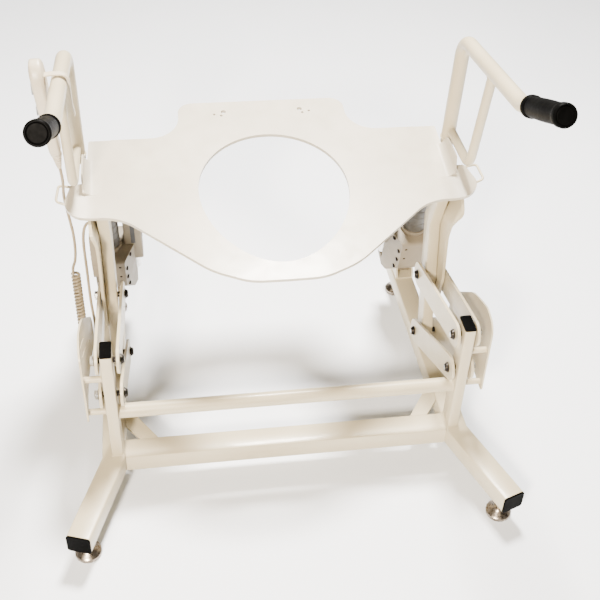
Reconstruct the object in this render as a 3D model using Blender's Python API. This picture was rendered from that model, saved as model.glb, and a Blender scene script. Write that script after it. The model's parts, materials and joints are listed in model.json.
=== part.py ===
"""Sit to stand lift: a seat plate with an aperture on a powered four-bar linkage.

Metres, +Z up, +X to the right of a person who faces the lift, +Y towards its open back.
The origin is on the floor, under the middle of the base frame.
"""

import bpy
import bmesh
from math import atan2, cos, hypot, pi, radians, sin, sqrt, tan
from mathutils import Matrix, Vector

GAP = 0.0003                    # space between pieces that touch

# Base frame
FLOOR_TO_TUBE = 0.041           # underside of the rails
TUBE_HIGH = 0.035
RAIL_WIDE = 0.040
CROSS_DEEP = 0.043
WALL = 0.0025
CROSS_FRONT_Y = -0.173          # front face of the cross tube
RAIL_INNER_X = 0.2823
RAIL_REAR_Y = 0.3352            # rear end of the tube, without its cap
CAP_FLANGE = 0.003
FRONT_LEG_SPLAY = radians(19.34)
FRONT_LEG_LONG = 0.172          # inner edge of the front leg, without its cap
GUSSET_THICK = 0.005
FOOT_STUD = 0.005

# Posts, front bar and guards
POST_INNER_X = 0.286
POST_WIDE = 0.019
POST_DEEP = 0.038
POST_Y = -0.148
POST_TOP = 0.3038
BAR_DIAMETER = 0.025
BAR_Z = 0.166
GUARD_INNER_X = 0.3345
GUARD_THICK = 0.003
GUARD_ROD = 0.011
GUARD_ROD_Z = (0.1685, 0.2430)

# Four-bar linkage: pivot places (y, z) at rest
UPPER_FRONT = (-0.148, 0.284)
LOWER_FRONT = (-0.148, 0.208)
UPPER_REAR = (0.068, 0.240)
LOWER_REAR = (0.043, 0.122)
LINK_WIDE = 0.046
LINK_THICK = 0.005
INNER_LINK_X = 0.2790           # inner plates at their front end
INNER_LINK_TOE = 0.005          # how far they close in towards the rear
OUTER_LINK_X = 0.3085
PIN_RADIUS = 0.005
PIN_HOLE = 0.0051
OPEN_PIVOT_HOLE = 0.0080        # lower rear pivot, with room for the carriage

# Carriage
UPRIGHT_INNER_X = 0.281
UPRIGHT_WIDE = 0.020
UPRIGHT_DEEP = 0.038
UPRIGHT_FRONT_TO_PIVOT = 0.014
UPRIGHT_BELOW_PIVOT = 0.021
KINK_Z = 0.347
UPRIGHT_TOP_LEAN = radians(20.0)
PROFILE_THICK = 0.005
FLARE_START_Z = 0.372           # above this the profile plate bends outwards
FLARE_HIGH = 0.045
FLARE_OUT = {"left": 0.0075, "right": 0.0185}   # the two plates are bent differently

# Seat plate, in its own tilted frame: x across, v towards the back, w up
SEAT_TILT = radians(11.5)
SEAT_ORIGIN = Vector((0.0, 0.285, 0.4753))
SEAT_THICK = 0.006
APERTURE_MIDDLE_V = -0.200
APERTURE_HALF_WIDE = 0.129
APERTURE_BACK = 0.134
APERTURE_FRONT = 0.167
HINGE_HOLE_X = 0.070
WING_FOLD_X = 0.300
WING_RISE = 0.010

# Arms, in the seat frame
ARM_DIAMETER = 0.025
ARM_WALL = 0.002
LOOP_DIAMETER = 0.016
GRIP_DIAMETER = 0.030
GRIP_FLANGE = 0.034
GRIP_LONG = 0.122
GRIP_END_LIFT = {"left": 0.005, "right": -0.005}   # the two arms are bent a little differently

# Actuators: lower pivot and rod end (y, z) at rest
ACT_BASE = (0.283, 0.095)
ACT_TOP = (0.1995, 0.4138)
ACT_X = 0.2515                  # middle of the outer tube and rod
ACT_EYE_X = (0.2895, 0.3155)    # lower eye, between the bracket's ears
GEARBOX_TOP = 0.143             # distances along the actuator from its lower pivot
TUBE_TOP = 0.286
ROD_START = 0.058
BORE_START = 0.037
MOTOR_X = 0.3005
MOTOR_FORWARD = 0.014
MOTOR_DIAMETER = 0.048
MOTOR_LONG = 0.140
ROD_DIAMETER = 0.020
THRUST_SLOT_DROP = radians(4.1)  # the slots under the seat fall towards the back, against the plate

# Handset and cords
HANDSET_TOP = Vector((-0.3610, 0.048, 0.7070))
HANDSET_BOTTOM = Vector((-0.3492, 0.048, 0.5500))
HANDSET_WIDE = 0.050
HANDSET_THICK = 0.022
HOOK_Y = 0.040
CORD_DIAMETER = 0.0050
CURL_DIAMETER = 0.0170

FLAT_TOP = FLOOR_TO_TUBE + TUBE_HIGH


# ---------------------------------------------------------------- materials

def material(name, colour, roughness, metallic=0.0):
    mat = bpy.data.materials.new(name)
    mat.use_nodes = True
    shader = mat.node_tree.nodes["Principled BSDF"]
    shader.inputs["Base Color"].default_value = (*colour, 1.0)
    shader.inputs["Roughness"].default_value = roughness
    shader.inputs["Metallic"].default_value = metallic
    return mat


for old in list(bpy.data.objects):
    bpy.data.objects.remove(old, do_unlink=True)

WHITE = material("white_powder_coat", (0.86, 0.83, 0.76), 0.35)
BLACK = material("black_plastic", (0.02, 0.02, 0.02), 0.45)
RUBBER = material("black_rubber", (0.03, 0.03, 0.03), 0.7)
STEEL = material("dark_steel", (0.20, 0.19, 0.18), 0.35, 1.0)
BEIGE = material("beige_plastic", (0.62, 0.56, 0.46), 0.45)
GREY = material("grey_plastic", (0.33, 0.31, 0.27), 0.5)
IVORY = material("ivory_plastic", (0.80, 0.77, 0.70), 0.4)
ROD_STEEL = material("bright_steel", (0.75, 0.75, 0.76), 0.2, 1.0)


# ---------------------------------------------------------------- frames

def empty(name, location, tilt=0.0, parent=None):
    """A guide on a joint's axis, which holds the pieces that move together."""
    guide = bpy.data.objects.new(name, None)
    guide.empty_display_size = 0.03
    guide.location = location
    guide.rotation_euler = (tilt, 0.0, 0.0)
    guide.parent = parent
    bpy.context.scene.collection.objects.link(guide)
    return guide


def yz(point, x=0.0):
    return Vector((x, point[0], point[1]))


BASE = empty("base_frame", (0.0, 0.0, 0.0))
LIFT_AXIS = empty("lift_axis", yz(UPPER_FRONT))
LOWER_AXIS = empty("lower_link_axis", yz(LOWER_FRONT))
CARRIAGE = empty("carriage_axis", yz(UPPER_REAR))
SEAT = empty("seat_frame", SEAT_ORIGIN - yz(UPPER_REAR), SEAT_TILT, CARRIAGE)
ACTUATOR_AXIS = empty("actuator_axis", yz(ACT_BASE))


# ---------------------------------------------------------------- shape tools

def add_object(name, bm, mat, frame=BASE, smooth=False, local=False):
    """Links a bmesh as an object under its frame. Points are world points unless local."""
    if not local:
        bmesh.ops.translate(bm, verts=bm.verts, vec=-frame.location)
    bmesh.ops.recalc_face_normals(bm, faces=bm.faces)
    mesh = bpy.data.meshes.new(name)
    bm.to_mesh(mesh)
    bm.free()
    mesh.materials.append(mat)
    if smooth:
        mesh.shade_smooth()
        mesh.set_sharp_from_angle(angle=radians(35.0))
    obj = bpy.data.objects.new(name, mesh)
    obj.parent = frame
    bpy.context.scene.collection.objects.link(obj)
    return obj


def rounded(points, radii, steps=5, closed=True):
    """Replaces each corner by an arc. Works for 2-D outlines and 3-D paths."""
    points = [Vector(p) for p in points]
    if not hasattr(radii, "__len__"):
        radii = [radii] * len(points)
    found = []
    for i, (corner, radius) in enumerate(zip(points, radii)):
        at_end = not closed and i in (0, len(points) - 1)
        if radius == 0.0 or at_end:
            found.append(corner)
            continue
        back = (points[i - 1] - corner).normalized()
        ahead = (points[(i + 1) % len(points)] - corner).normalized()
        half = back.angle(ahead) / 2.0
        middle = corner + (back + ahead).normalized() * (radius / sin(half))
        start = corner + back * (radius / tan(half)) - middle
        end = corner + ahead * (radius / tan(half)) - middle
        sweep = start.angle(end)
        for k in range(steps + 1):
            t = k / steps
            arm = (start * sin((1.0 - t) * sweep) + end * sin(t * sweep)) / sin(sweep)
            found.append(middle + arm)
    return found


def circle(middle, radius, count=20):
    return [
        Vector((middle[0] + radius * cos(2.0 * pi * k / count),
                middle[1] + radius * sin(2.0 * pi * k / count)))
        for k in range(count)
    ]


def prism(outline, low, high, place, holes=()):
    """A flat outline with holes, given thickness. place maps (a, b, height) to a point."""
    bm = bmesh.new()
    edges = []
    for loop in (outline, *holes):
        verts = [bm.verts.new(place(p[0], p[1], low)) for p in loop]
        edges += [bm.edges.new((verts[i - 1], verts[i])) for i in range(len(verts))]
    filled = bmesh.ops.triangle_fill(bm, use_beauty=True, use_dissolve=False, edges=edges)
    faces = [f for f in filled["geom"] if isinstance(f, bmesh.types.BMFace)]
    raised = bmesh.ops.extrude_face_region(bm, geom=faces, use_keep_orig=True)
    move = place(0.0, 0.0, high) - place(0.0, 0.0, low)
    top = [v for v in raised["geom"] if isinstance(v, bmesh.types.BMVert)]
    bmesh.ops.translate(bm, verts=top, vec=move)
    return bm


def along_x(a, b, height):
    return Vector((height, a, b))


def along_y(a, b, height):
    return Vector((a, height, b))


def along_z(a, b, height):
    return Vector((a, b, height))


def block(x, y, z):
    """A box from its ranges."""
    corners = [(x[0], y[0]), (x[1], y[0]), (x[1], y[1]), (x[0], y[1])]
    return prism(corners, z[0], z[1], along_z)


def round_section(radius, count=16):
    return [(p.x, p.y) for p in circle((0.0, 0.0), radius, count)]


def box_section(wide, high, corner=0.0):
    w, h = wide / 2.0, high / 2.0
    points = [(-w, -h), (w, -h), (w, h), (-w, h)]
    if corner:
        return [(p.x, p.y) for p in rounded(points, corner, 2)]
    return points


def sweep(path, section, side, bore=None, end_normals=(None, None)):
    """Carries a section along a path with mitred corners. side is the section's first axis."""
    path = [Vector(p) for p in path]
    steps = [(b - a).normalized() for a, b in zip(path, path[1:])]
    side = Vector(side)
    bm = bmesh.new()
    layers = []
    for outline in (section, bore):
        if outline is None:
            continue
        rings = []
        for i, point in enumerate(path):
            came = steps[max(i - 1, 0)]
            goes = steps[min(i, len(steps) - 1)]
            normal = (came + goes).normalized()
            if i == 0 and end_normals[0]:
                normal = end_normals[0]
            if i == len(path) - 1 and end_normals[1]:
                normal = end_normals[1]
            across = (side - came * side.dot(came)).normalized()
            up = came.cross(across)
            ring = []
            for a, b in outline:
                offset = across * a + up * b
                slide = -offset.dot(normal) / came.dot(normal)
                ring.append(bm.verts.new(point + offset + came * slide))
            rings.append(ring)
        for low, high in zip(rings, rings[1:]):
            for k in range(len(low)):
                bm.faces.new((low[k - 1], low[k], high[k], high[k - 1]))
        layers.append(rings)
    for end in (0, -1):
        if bore is None:
            bm.faces.new(layers[0][end])
            continue
        outer, inner = layers[0][end], layers[1][end]
        for k in range(len(outer)):
            bm.faces.new((outer[k - 1], outer[k], inner[k], inner[k - 1]))
    return bm


def turned(profile, middle, axis, count=20):
    """A turned piece: profile is (distance along the axis, radius), closed at both ends."""
    axis = Vector(axis).normalized()
    across = Vector((0.0, 0.0, 1.0)) if abs(axis.z) < 0.9 else Vector((1.0, 0.0, 0.0))
    across = (across - axis * across.dot(axis)).normalized()
    other = axis.cross(across)
    bm = bmesh.new()
    rings = []
    for distance, radius in profile:
        centre = Vector(middle) + axis * distance
        if radius == 0.0:
            rings.append([bm.verts.new(centre)])
            continue
        turns = [2.0 * pi * k / count for k in range(count)]
        rings.append([
            bm.verts.new(centre + across * (radius * cos(t)) + other * (radius * sin(t)))
            for t in turns
        ])
    for low, high in zip(rings, rings[1:]):
        for k in range(count):
            if len(low) == 1:
                bm.faces.new((low[0], high[k], high[k - 1]))
            elif len(high) == 1:
                bm.faces.new((low[k - 1], low[k], high[0]))
            else:
                bm.faces.new((low[k - 1], low[k], high[k], high[k - 1]))
    for ring in (rings[0], rings[-1]):
        if len(ring) > 1:
            bm.faces.new(ring)
    return bm


def combine(obj, other, operation):
    """Joins or cuts obj with another object, and removes that object."""
    modifier = obj.modifiers.new(operation.lower(), "BOOLEAN")
    modifier.operation = operation
    modifier.object = other
    modifier.solver = "EXACT"
    bpy.context.view_layer.update()
    depsgraph = bpy.context.evaluated_depsgraph_get()
    mesh = bpy.data.meshes.new_from_object(obj.evaluated_get(depsgraph))
    obj.modifiers.clear()
    obj.data = mesh
    bpy.data.objects.remove(other, do_unlink=True)
    return obj


def cut_hole(obj, middle, radius, long, axis=(1.0, 0.0, 0.0)):
    """Drills a round hole through obj at a world point."""
    half = long / 2.0
    tool = turned([(-half, radius), (half, radius)], middle, axis, 24)
    cutter = add_object("cutter", tool, obj.data.materials[0])
    return combine(obj, cutter, "DIFFERENCE")


def mirrored(side):
    """-1 for left and +1 for right, from the side's name."""
    return -1.0 if side == "left" else 1.0


# ---------------------------------------------------------------- base frame

def leg_direction(sign):
    return Vector((sign * sin(FRONT_LEG_SPLAY), -cos(FRONT_LEG_SPLAY), 0.0))


def rail_path(sign):
    """Middle line of a side rail, from its rear end round the bend to its front end."""
    z = FLOOR_TO_TUBE + TUBE_HIGH / 2.0
    middle_x = RAIL_INNER_X + RAIL_WIDE / 2.0
    bend_y = CROSS_FRONT_Y + RAIL_WIDE / 2.0 * tan(FRONT_LEG_SPLAY / 2.0)
    bend = Vector((sign * middle_x, bend_y, z))
    inner_run = FRONT_LEG_LONG - RAIL_WIDE / 2.0 * tan(FRONT_LEG_SPLAY / 2.0)
    return [
        Vector((sign * middle_x, RAIL_REAR_Y, z)),
        bend,
        bend + leg_direction(sign) * inner_run,
    ]


def make_cross_tube():
    length = RAIL_INNER_X - GAP
    middle = (CROSS_FRONT_Y + CROSS_DEEP / 2.0, FLOOR_TO_TUBE + TUBE_HIGH / 2.0)
    path = [yz(middle, -length), yz(middle, length)]
    outer = box_section(CROSS_DEEP, TUBE_HIGH, 0.004)
    inner = box_section(CROSS_DEEP - 2.0 * WALL, TUBE_HIGH - 2.0 * WALL, 0.002)
    tube = add_object("base_cross_tube", sweep(path, outer, (0, 1, 0), inner), WHITE)
    back = CROSS_FRONT_Y + CROSS_DEEP
    for sign in (-1.0, 1.0):
        outline = [
            (sign * 0.226, back - 0.001),
            (sign * 0.257, back - 0.001),
            (sign * length, back + 0.033),
            (sign * length, back + 0.083),
        ]
        top = FLAT_TOP - 0.001
        plate = add_object("plate", prism(outline, top - GUSSET_THICK, top, along_z), WHITE)
        combine(tube, plate, "UNION")


def make_rail(side):
    sign = mirrored(side)
    outer = box_section(RAIL_WIDE, TUBE_HIGH, 0.004)
    inner = box_section(RAIL_WIDE - 2.0 * WALL, TUBE_HIGH - 2.0 * WALL, 0.002)
    path = rail_path(sign)
    rail = add_object(side + "_side_rail", sweep(path, outer, (1, 0, 0), inner), WHITE)
    for where in ("front", "rear"):
        place = foot_place(side, where)
        place.z = FLOOR_TO_TUBE
        cut_hole(rail, place, FOOT_STUD + GAP, 0.012, (0, 0, 1))


def make_rail_caps(side):
    sign = mirrored(side)
    path = rail_path(sign)
    ends = {"rear": (path[0], Vector((0, 1, 0))), "front": (path[2], leg_direction(sign))}
    for where, (place, outward) in ends.items():
        start = place + outward * GAP
        flange = sweep([start, start + outward * CAP_FLANGE],
                       box_section(RAIL_WIDE, TUBE_HIGH, 0.004), (1, 0, 0))
        cap = add_object(side + "_" + where + "_cap", flange, BLACK)
        plug_wide = RAIL_WIDE - 2.0 * WALL - 2.0 * GAP
        plug_high = TUBE_HIGH - 2.0 * WALL - 2.0 * GAP
        plug = sweep([start - outward * 0.012, start + outward * 0.001],
                     box_section(plug_wide, plug_high, 0.003), (1, 0, 0))
        combine(cap, add_object("plug", plug, BLACK), "UNION")


def make_post(side):
    sign = mirrored(side)
    middle_x = sign * (POST_INNER_X + POST_WIDE / 2.0)
    path = [Vector((middle_x, POST_Y, FLAT_TOP + GAP)), Vector((middle_x, POST_Y, POST_TOP))]
    outer = box_section(POST_WIDE, POST_DEEP, 0.0025)
    inner = box_section(POST_WIDE - 0.004, POST_DEEP - 0.004, 0.0015)
    post = add_object(side + "_post", sweep(path, outer, (1, 0, 0), inner), WHITE)
    for pivot in (UPPER_FRONT, LOWER_FRONT):
        cut_hole(post, yz(pivot, middle_x), PIN_RADIUS + GAP, 0.04)
    top = POST_TOP + GAP
    flange = sweep([Vector((middle_x, POST_Y, top)), Vector((middle_x, POST_Y, top + 0.0028))],
                   outer, (1, 0, 0))
    cap = add_object(side + "_post_cap", flange, BLACK)
    plug_section = box_section(POST_WIDE - 0.004 - 2.0 * GAP, POST_DEEP - 0.004 - 2.0 * GAP, 0.001)
    plug = sweep([Vector((middle_x, POST_Y, top - 0.010)), Vector((middle_x, POST_Y, top + 0.001))],
                 plug_section, (1, 0, 0))
    combine(cap, add_object("plug", plug, BLACK), "UNION")


def make_front_bar():
    length = POST_INNER_X - GAP
    path = [Vector((-length, POST_Y, BAR_Z)), Vector((length, POST_Y, BAR_Z))]
    outer = round_section(BAR_DIAMETER / 2.0, 24)
    inner = round_section(BAR_DIAMETER / 2.0 - 0.002, 24)
    bar = sweep(path, outer, (0, 1, 0), inner)
    add_object("front_bar", bar, WHITE, smooth=True)


def make_guard(side):
    """A rounded sheet beside the links, on two rods from the post."""
    sign = mirrored(side)
    corners = [
        (-0.163, 0.160), (-0.161, 0.304), (-0.110, 0.302), (-0.030, 0.272),
        (0.052, 0.206), (0.052, 0.146), (-0.090, 0.150),
    ]
    outline = rounded(corners, [0.004, 0.022, 0.060, 0.080, 0.030, 0.020, 0.060], 5)
    low = min(sign * GUARD_INNER_X, sign * (GUARD_INNER_X + GUARD_THICK))
    slots = []
    if side == "left":
        for y, z in ((-0.055, 0.240), (-0.010, 0.186)):
            along = Vector((0.034, -0.019))
            across = Vector((0.0009, 0.0016))
            mid = Vector((y, z))
            slots.append([mid - along - across, mid + along - across,
                          mid + along + across, mid - along + across])
    sheet = prism(outline, low, low + GUARD_THICK, along_x, slots)
    guard = add_object(side + "_side_guard", sheet, WHITE)
    for z in GUARD_ROD_Z:
        start = Vector((sign * (POST_INNER_X + POST_WIDE + GAP), POST_Y, z))
        end = Vector((sign * (GUARD_INNER_X + 0.001), POST_Y, z))
        rod = sweep([start, end], round_section(GUARD_ROD / 2.0), (0, 1, 0))
        combine(guard, add_object("rod", rod, WHITE), "UNION")


def foot_place(side, where):
    sign = mirrored(side)
    path = rail_path(sign)
    if where == "rear":
        return path[0] - Vector((0, 0.024, 0))
    return path[2] - leg_direction(sign) * 0.026


def make_foot(side, where):
    """A levelling foot: disc, hexagon nut and threaded stud."""
    place = foot_place(side, where)
    place.z = 0.0
    under = FLOOR_TO_TUBE - GAP
    profile = [
        (0.0, 0.0), (0.0, 0.021), (0.002, 0.022), (0.007, 0.022), (0.010, 0.019),
        (0.013, 0.012), (0.017, 0.009), (0.017, FOOT_STUD), (under - 0.007, FOOT_STUD),
        (under - 0.007, 0.0085), (under, 0.0085), (under, FOOT_STUD), (under + 0.024, FOOT_STUD),
        (under + 0.024, 0.0),
    ]
    disc = turned(profile, place, (0, 0, 1), 18)
    add_object(f"{side}_{where}_foot", disc, STEEL, smooth=True)


def make_actuator_bracket(side):
    """Two ears on the rail with the pin that carries the actuator's lower eye."""
    sign = mirrored(side)
    y, z = ACT_BASE
    foot = FLAT_TOP + GAP
    inner_x, outer_x = ACT_EYE_X[0] - 0.001, ACT_EYE_X[1] + 0.001
    xs = sorted((sign * (inner_x - 0.004), sign * (outer_x + 0.004)))
    plate_y = (y - 0.028, y + 0.022)
    base = add_object(side + "_actuator_bracket", block(xs, plate_y, (foot, foot + 0.004)), WHITE)
    for low, high in ((inner_x - 0.004, inner_x), (outer_x, outer_x + 0.004)):
        corners = [(y - 0.028, foot + 0.002), (y + 0.022, foot + 0.002), (y + 0.012, z + 0.012),
                   (y - 0.014, z + 0.012), (y - 0.028, foot + 0.014)]
        outline = rounded(corners, [0.0, 0.0, 0.008, 0.008, 0.008], 4)
        ear_x = sorted((sign * low, sign * high))
        ear = add_object("ear", prism(outline, ear_x[0], ear_x[1], along_x), WHITE)
        combine(base, ear, "UNION")
    reach = (inner_x - 0.008, outer_x + 0.008)
    head = 0.0085
    profile = [
        (reach[0], head), (reach[0] + 0.005, head), (reach[0] + 0.005, PIN_RADIUS),
        (reach[1] - 0.005, PIN_RADIUS), (reach[1] - 0.005, head), (reach[1], head),
    ]
    pin = turned(profile, yz(ACT_BASE), (sign, 0, 0), 12)
    combine(base, add_object("pin", pin, STEEL), "UNION")


# ---------------------------------------------------------------- linkage

def link_outline(front, rear):
    """A flat bar with round ends about two pivots."""
    front, rear = Vector(front), Vector(rear)
    radius = LINK_WIDE / 2.0
    heading = atan2(rear.y - front.y, rear.x - front.x)
    points = []
    steps = 12
    for middle, start in ((front, heading + pi / 2.0), (rear, heading - pi / 2.0)):
        for k in range(steps + 1):
            turn = start + pi * k / steps
            points.append(middle + Vector((cos(turn), sin(turn))) * radius)
    return points


def make_link(name, front, rear, x_front, x_rear, frame, holes):
    """A link plate between two pivots, toed in by the difference of its two x places."""
    sign = 1.0 if x_front > 0.0 else -1.0
    rims = [circle(p, r) for p, r in zip((front, rear), holes)]
    bm = prism(link_outline(front, rear), 0.0, LINK_THICK, along_x, rims)
    run = rear[0] - front[0]
    for vert in bm.verts:
        toe = (x_rear - x_front) * (vert.co.y - front[0]) / run
        vert.co.x = x_front + toe + sign * vert.co.x
    add_object(name, bm, WHITE, frame)


def make_links(side):
    sign = mirrored(side)
    inner = INNER_LINK_X - LINK_THICK
    for level, front, rear, frame in (
        ("upper", UPPER_FRONT, UPPER_REAR, LIFT_AXIS),
        ("lower", LOWER_FRONT, LOWER_REAR, LOWER_AXIS),
    ):
        holes = (PIN_HOLE, PIN_HOLE)
        make_link(f"{side}_{level}_inner_link", front, rear, sign * inner,
                  sign * (inner - INNER_LINK_TOE), frame, holes)
        make_link(f"{side}_{level}_outer_link", front, rear, sign * OUTER_LINK_X,
                  sign * OUTER_LINK_X, frame, holes)


def make_pin(name, pivot, sign, inner_x, collars, frame):
    """A bolt across a pivot with its head, its nut and the spacers beside the tube."""
    outer_x = OUTER_LINK_X + LINK_THICK
    head_low = inner_x - 0.0065
    profile = [
        (head_low, 0.0), (head_low, 0.0040), (head_low + 0.0022, 0.0068), (inner_x - 0.0018, 0.0072),
        (inner_x - 0.0018, 0.0092), (inner_x - GAP, 0.0092), (inner_x - GAP, PIN_RADIUS),
    ]
    for low, high in collars:
        profile += [(low, PIN_RADIUS), (low, 0.0085), (high, 0.0085), (high, PIN_RADIUS)]
    profile += [
        (outer_x + GAP, PIN_RADIUS), (outer_x + GAP, 0.0092), (outer_x + 0.0018, 0.0092),
        (outer_x + 0.0018, 0.0078), (outer_x + 0.0065, 0.0078), (outer_x + 0.0065, 0.0045),
        (outer_x + 0.0085, 0.0040), (outer_x + 0.0085, 0.0),
    ]
    add_object(name, turned(profile, yz(pivot), (sign, 0, 0), 12), STEEL, frame, smooth=True)


def make_pins(side):
    sign = mirrored(side)
    front_inner = INNER_LINK_X - LINK_THICK - 0.0006
    rear_inner = front_inner - INNER_LINK_TOE
    slack = 2.0 * GAP
    post = (POST_INNER_X, POST_INNER_X + POST_WIDE)
    front_collars = [(INNER_LINK_X + slack + 0.0006, post[0] - GAP), (post[1] + GAP, OUTER_LINK_X - slack)]
    tube = (UPRIGHT_INNER_X, UPRIGHT_INNER_X + UPRIGHT_WIDE)
    rear_start = INNER_LINK_X - INNER_LINK_TOE + slack + 0.0006
    profile_outer = tube[1] + GAP + PROFILE_THICK
    make_pin(side + "_upper_front_pin", UPPER_FRONT, sign, front_inner, front_collars, BASE)
    make_pin(side + "_lower_front_pin", LOWER_FRONT, sign, front_inner, front_collars, BASE)
    upper_collars = [(rear_start, tube[0] - GAP), (profile_outer + GAP, OUTER_LINK_X - slack)]
    make_pin(side + "_upper_rear_pin", UPPER_REAR, sign, rear_inner, upper_collars, CARRIAGE)
    lower_collars = [(rear_start, tube[0] - 0.0008), (tube[1] + 0.0008, OUTER_LINK_X - slack)]
    make_pin(side + "_lower_rear_pin", LOWER_REAR, sign, rear_inner, lower_collars, LOWER_AXIS)


# ---------------------------------------------------------------- carriage

def upright_path():
    """Middle line (y, z) of an upright: bottom end, kink and a point above the seat plate."""
    low, high = Vector(LOWER_REAR), Vector(UPPER_REAR)
    rise = (high - low).normalized()
    rearward = Vector((rise.y, -rise.x))
    offset = UPRIGHT_DEEP / 2.0 - UPRIGHT_FRONT_TO_PIVOT
    start = low + rearward * offset - rise * UPRIGHT_BELOW_PIVOT
    kink = start + rise * ((KINK_Z - start.y) / rise.y)
    top_run = Vector((-sin(UPRIGHT_TOP_LEAN), cos(UPRIGHT_TOP_LEAN)))
    under = seat_underside(GAP)
    length = (under[1] + under[0] * kink.x - kink.y) / (top_run.y - under[0] * top_run.x)
    return start, kink, kink + top_run * length


def seat_underside(clearance):
    """The line z = a * y + b of the seat plate's underside, less a clearance."""
    a = tan(SEAT_TILT)
    drop = (SEAT_THICK + clearance) / cos(SEAT_TILT)
    return a, SEAT_ORIGIN.z - a * SEAT_ORIGIN.y - drop


def make_upright(side):
    sign = mirrored(side)
    x = sign * (UPRIGHT_INNER_X + UPRIGHT_WIDE / 2.0)
    path = [yz(p, x) for p in upright_path()]
    outer = box_section(UPRIGHT_WIDE, UPRIGHT_DEEP, 0.0025)
    inner = box_section(UPRIGHT_WIDE - 0.004, UPRIGHT_DEEP - 0.004, 0.0015)
    seat_normal = Vector((0.0, -sin(SEAT_TILT), cos(SEAT_TILT)))
    tube = sweep(path, outer, (1, 0, 0), inner, (None, seat_normal))
    upright = add_object(side + "_upright", tube, WHITE)
    cut_hole(upright, yz(UPPER_REAR, x), PIN_RADIUS + GAP, 0.04)
    cut_hole(upright, yz(LOWER_REAR, x), OPEN_PIVOT_HOLE, 0.04)
    upright.data.transform(Matrix.Translation(-CARRIAGE.location))
    upright.parent = CARRIAGE


def make_profile_plate(side):
    """The outer plate of an upright, which widens and bends outwards under the seat."""
    sign = mirrored(side)
    a, b = seat_underside(0.0006)
    front_y, rear_y = 0.044, 0.150
    corners = [
        (front_y, a * front_y + b), (0.018, 0.403), (0.037, 0.345), (0.026, 0.262), (0.036, 0.190),
        (0.082, 0.186), (0.112, 0.330), (0.128, 0.385), (rear_y, 0.412), (rear_y, a * rear_y + b),
    ]
    radii = [0.0, 0.010, 0.060, 0.050, 0.010, 0.016, 0.060, 0.040, 0.010, 0.0]
    rim = circle(UPPER_REAR, PIN_RADIUS + GAP)
    inner = UPRIGHT_INNER_X + UPRIGHT_WIDE + GAP
    plate = prism(rounded(corners, radii, 6), inner, inner + PROFILE_THICK, along_x, [rim])
    for k in range(8):
        geom = list(plate.verts) + list(plate.edges) + list(plate.faces)
        bmesh.ops.bisect_plane(plate, geom=geom, dist=1e-6, plane_no=(0, 0, 1),
                               plane_co=(0, 0, FLARE_START_Z + FLARE_HIGH * k / 8))
    for vert in plate.verts:
        t = min(1.0, max(0.0, (vert.co.z - FLARE_START_Z) / FLARE_HIGH))
        at_top = vert.co.z > a * vert.co.y + b - 1e-5
        vert.co.x += FLARE_OUT[side] * t * t * (3.0 - 2.0 * t)
        if at_top:
            vert.co.z += wing_height(vert.co.x)
        vert.co.x *= sign
    add_object(side + "_profile_plate", plate, WHITE, CARRIAGE)


def wing_height(x):
    """How far the seat's outer wings rise above its flat middle."""
    run = max(abs(x) - WING_FOLD_X, 0.0) / (0.345 - WING_FOLD_X)
    return WING_RISE * run * run


def seat_outline():
    """Half of the seat plate's outline from the middle of the back to the middle of the front."""
    points = [
        (0.0, 0.026), (0.1525, 0.026), (0.1525, -0.0625), (0.312, -0.0640), (0.3140, -0.1120),
        (0.3215, -0.1120), (0.3215, -0.1700), (0.3400, -0.1760), (0.3500, -0.2180), (0.3480, -0.2490),
        (0.2620, -0.2490), (0.1200, -0.3760), (0.0600, -0.4030), (0.0, -0.4040),
    ]
    radii = [0.0, 0.026, 0.052, 0.004, 0.002, 0.001, 0.004, 0.010, 0.020, 0.026, 0.085, 0.150, 0.100, 0.0]
    return rounded(points, radii, 6, False)


def aperture_outline(count=48):
    points = []
    for k in range(count):
        turn = 2.0 * pi * k / count
        s = sin(turn)
        reach = APERTURE_BACK if s > 0.0 else APERTURE_FRONT
        narrow = 1.0 if s > 0.0 else 1.0 - 0.10 * s * s
        points.append((APERTURE_HALF_WIDE * narrow * cos(turn), APERTURE_MIDDLE_V + reach * s))
    return points


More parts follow.
